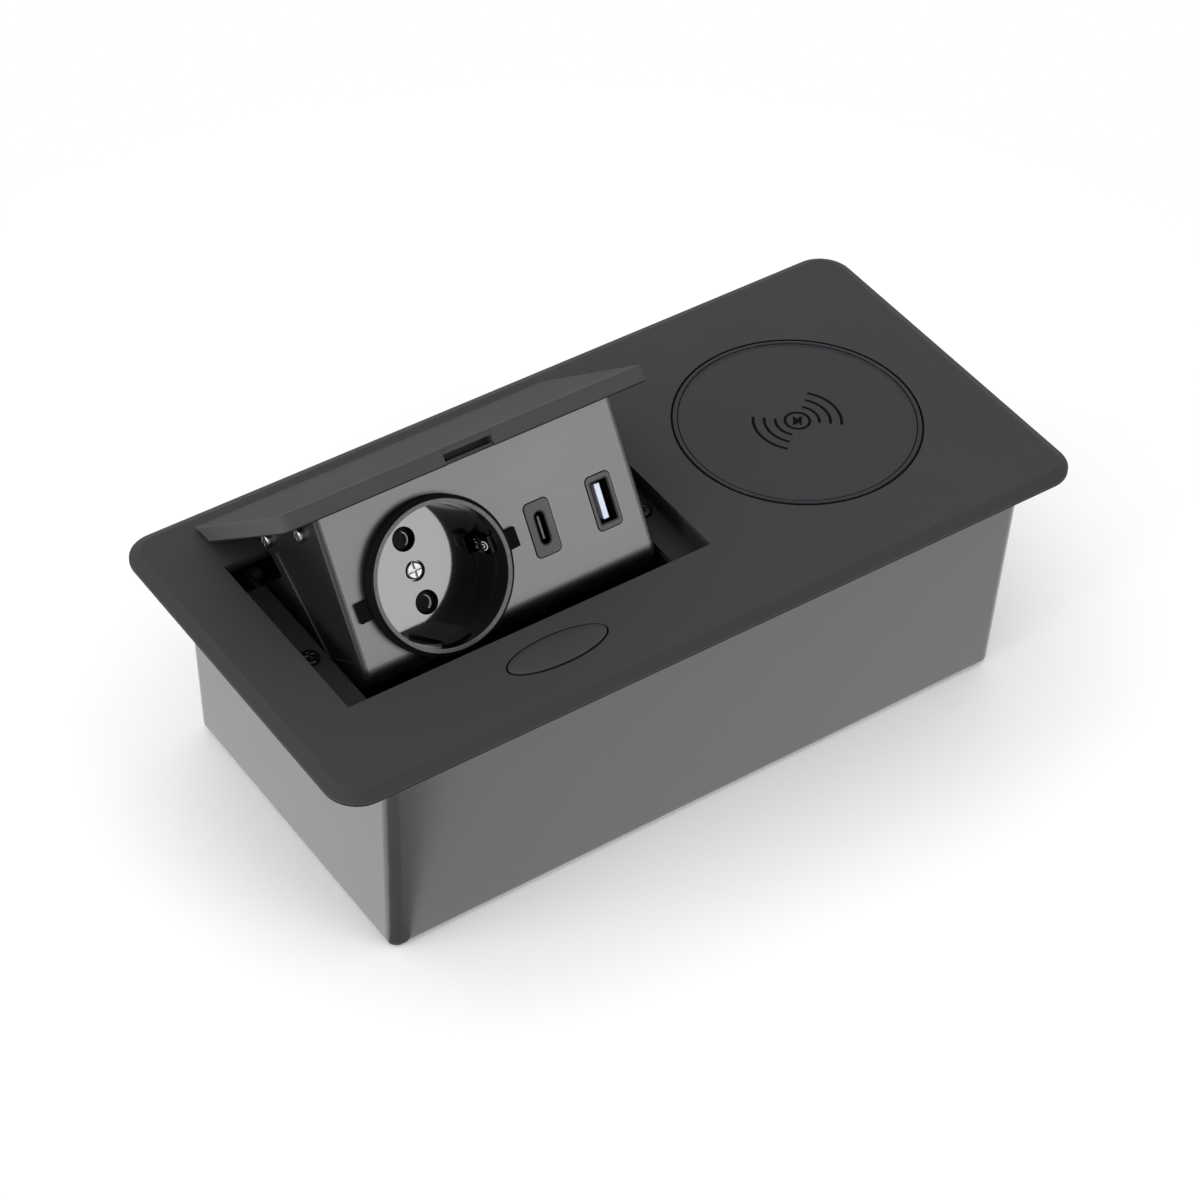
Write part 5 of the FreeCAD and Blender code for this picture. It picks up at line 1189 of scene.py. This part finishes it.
class POWER_OT_studio(bpy.types.Operator):
    """Pale floor, grey card, soft lamps and the camera"""

    bl_idname = "power.studio"
    bl_label = "Studio"

    def execute(self, context):
        look = settings().studio
        self.floor(look)
        self.card(look)
        self.sky(context, look)
        for name, place, size in LAMPS:
            self.lamp(context, name + "_lamp", place, size, getattr(look, name))
        self.camera(context, look)
        context.scene.view_settings.view_transform = "Standard"
        return {"FINISHED"}

    def floor(self, look):
        """The floor's paint, which fades to plain white away from the middle."""
        mesh = bmesh.new()
        bmesh.ops.create_grid(mesh, x_segments=1, y_segments=1, size=look.floor_size / 2)
        floor = object_from("floor", mesh)
        material = empty_material("floor_pale")
        tree = material.node_tree
        away = vectors(tree, "LENGTH", object_place(tree))
        fade = ramp(tree, away, look.floor_near, look.floor_near + look.floor_fade)
        paint = put(tree, "ShaderNodeBsdfDiffuse", {"Color": opaque(look.floor)}).outputs[0]
        white = put(tree, "ShaderNodeEmission", {"Color": WHITE, "Strength": 1.0}).outputs[0]
        path = put(tree, "ShaderNodeLightPath").outputs
        mirrored = maths(tree, "MAXIMUM", path["Is Glossy Ray"], path["Is Transmission Ray"])
        seen = maths(tree, "MAXIMUM", product(tree, path["Is Camera Ray"], fade), mirrored)
        both = put(tree, "ShaderNodeMixShader", {0: seen, 1: paint, 2: white})
        put(tree, "ShaderNodeOutputMaterial", {"Surface": both.outputs[0]})
        floor.data.materials.append(material)

    def sky(self, context, look):
        """Soft light from all sides, and plain white where the camera or a reflection sees it."""
        world = bpy.data.worlds.new("studio")
        context.scene.world = world
        world.use_nodes = True
        tree = world.node_tree
        tree.nodes.clear()
        path = put(tree, "ShaderNodeLightPath").outputs
        seen = maths(tree, "MAXIMUM", path["Is Camera Ray"], path["Is Glossy Ray"])
        seen = maths(tree, "MAXIMUM", seen, path["Is Transmission Ray"])
        soft, white = (
            put(tree, "ShaderNodeBackground", {"Color": WHITE, "Strength": level}).outputs[0]
            for level in (look.sky, 1.0)
        )
        both = put(tree, "ShaderNodeMixShader", {0: seen, 1: soft, 2: white})
        put(tree, "ShaderNodeOutputWorld", {"Surface": both.outputs[0]})

    def card(self, look):
        """Grey card on the floor by the left corner, a sector that only reflections see."""
        inset, lift, first, last, steps = 5.0 * MM, 1.0 * MM, -38.0, 84.0, 12
        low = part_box("box_housing")[0]
        middle = Vector((low.x + inset, low.y + inset, lift))
        outline = [middle]
        for step in range(steps + 1):
            turn = math.radians(first + (last - first) * step / steps)
            way = Vector((math.sin(turn), math.cos(turn), 0.0))
            outline.append(middle - way * look.card_reach)
        mesh = bmesh.new()
        mesh.faces.new([mesh.verts.new(corner) for corner in outline])
        card = object_from("dark_card", mesh)
        material = bpy.data.materials.new("card_grey")
        material.use_nodes = True
        shader_of(material).inputs["Base Color"].default_value = opaque(look.card)
        shader_of(material).inputs["Roughness"].default_value = 1.0
        card.data.materials.append(material)
        card.visible_camera = False
        card.visible_diffuse = False
        card.visible_shadow = False

    def lamp(self, context, name, place, size, watts):
        data = bpy.data.lights.new(name, "AREA")
        data.shape = "RECTANGLE"
        data.size, data.size_y = size
        data.energy = watts
        lamp = bpy.data.objects.new(name, data)
        context.scene.collection.objects.link(lamp)
        lamp.location = place
        lamp.rotation_mode = "QUATERNION"
        lamp.rotation_quaternion = (-Vector(place)).to_track_quat("-Z", "Y")
        lamp.visible_camera = False

    def camera(self, context, look):
        data = bpy.data.cameras.new("camera")
        data.sensor_width = SENSOR_WIDTH
        data.lens = look.lens
        data.shift_x, data.shift_y = CAMERA_SHIFT
        camera = bpy.data.objects.new("camera", data)
        context.scene.collection.objects.link(camera)
        camera.location = CAMERA_PLACE
        camera.rotation_mode = "QUATERNION"
        camera.rotation_quaternion = CAMERA_TURN
        context.scene.camera = camera


PIECES = (
    POWER_OT_plate,
    POWER_OT_box,
    POWER_OT_button,
    POWER_OT_shell,
    POWER_OT_panel,
    POWER_OT_socket,
    POWER_OT_shutters,
    POWER_OT_clip_lines,
    POWER_OT_ports,
    POWER_OT_charger,
    POWER_OT_bead,
    POWER_OT_steel,
    POWER_OT_inside,
    POWER_OT_gaps,
    POWER_OT_symbol,
    POWER_OT_studio,
)


class POWER_PT_looks(bpy.types.Panel):
    """The pieces and their settings in the 3D view's sidebar"""

    bl_idname = "POWER_PT_looks"
    bl_label = "Power module"
    bl_space_type = "VIEW_3D"
    bl_region_type = "UI"
    bl_category = "Power Module"

    def draw(self, context):
        for piece in PIECES:
            self.layout.operator(piece.bl_idname)
        look = context.scene.power_module
        for part in (look.plastic, look.metal, look.symbol, look.studio):
            box = self.layout.box()
            for name in part.bl_rna.properties.keys():
                if name not in ("rna_type", "name"):
                    box.prop(part, name)


class PowerModuleSettings(bpy.types.PropertyGroup):
    """All the settings of the looks."""

    plastic: bpy.props.PointerProperty(type=PlasticSettings)
    metal: bpy.props.PointerProperty(type=MetalSettings)
    symbol: bpy.props.PointerProperty(type=SymbolSettings)
    studio: bpy.props.PointerProperty(type=StudioSettings)


CLASSES = (
    PlasticSettings,
    MetalSettings,
    SymbolSettings,
    StudioSettings,
    PowerModuleSettings,
    *PIECES,
    POWER_PT_looks,
)


def register():
    for item in CLASSES:
        bpy.utils.register_class(item)
    bpy.types.Scene.power_module = bpy.props.PointerProperty(type=PowerModuleSettings)


def unregister():
    del bpy.types.Scene.power_module
    for item in reversed(CLASSES):
        bpy.utils.unregister_class(item)


def main():
    register()
    for piece in PIECES:
        category, name = piece.bl_idname.split(".")
        getattr(getattr(bpy.ops, category), name)()


if __name__ == "__main__":
    main()
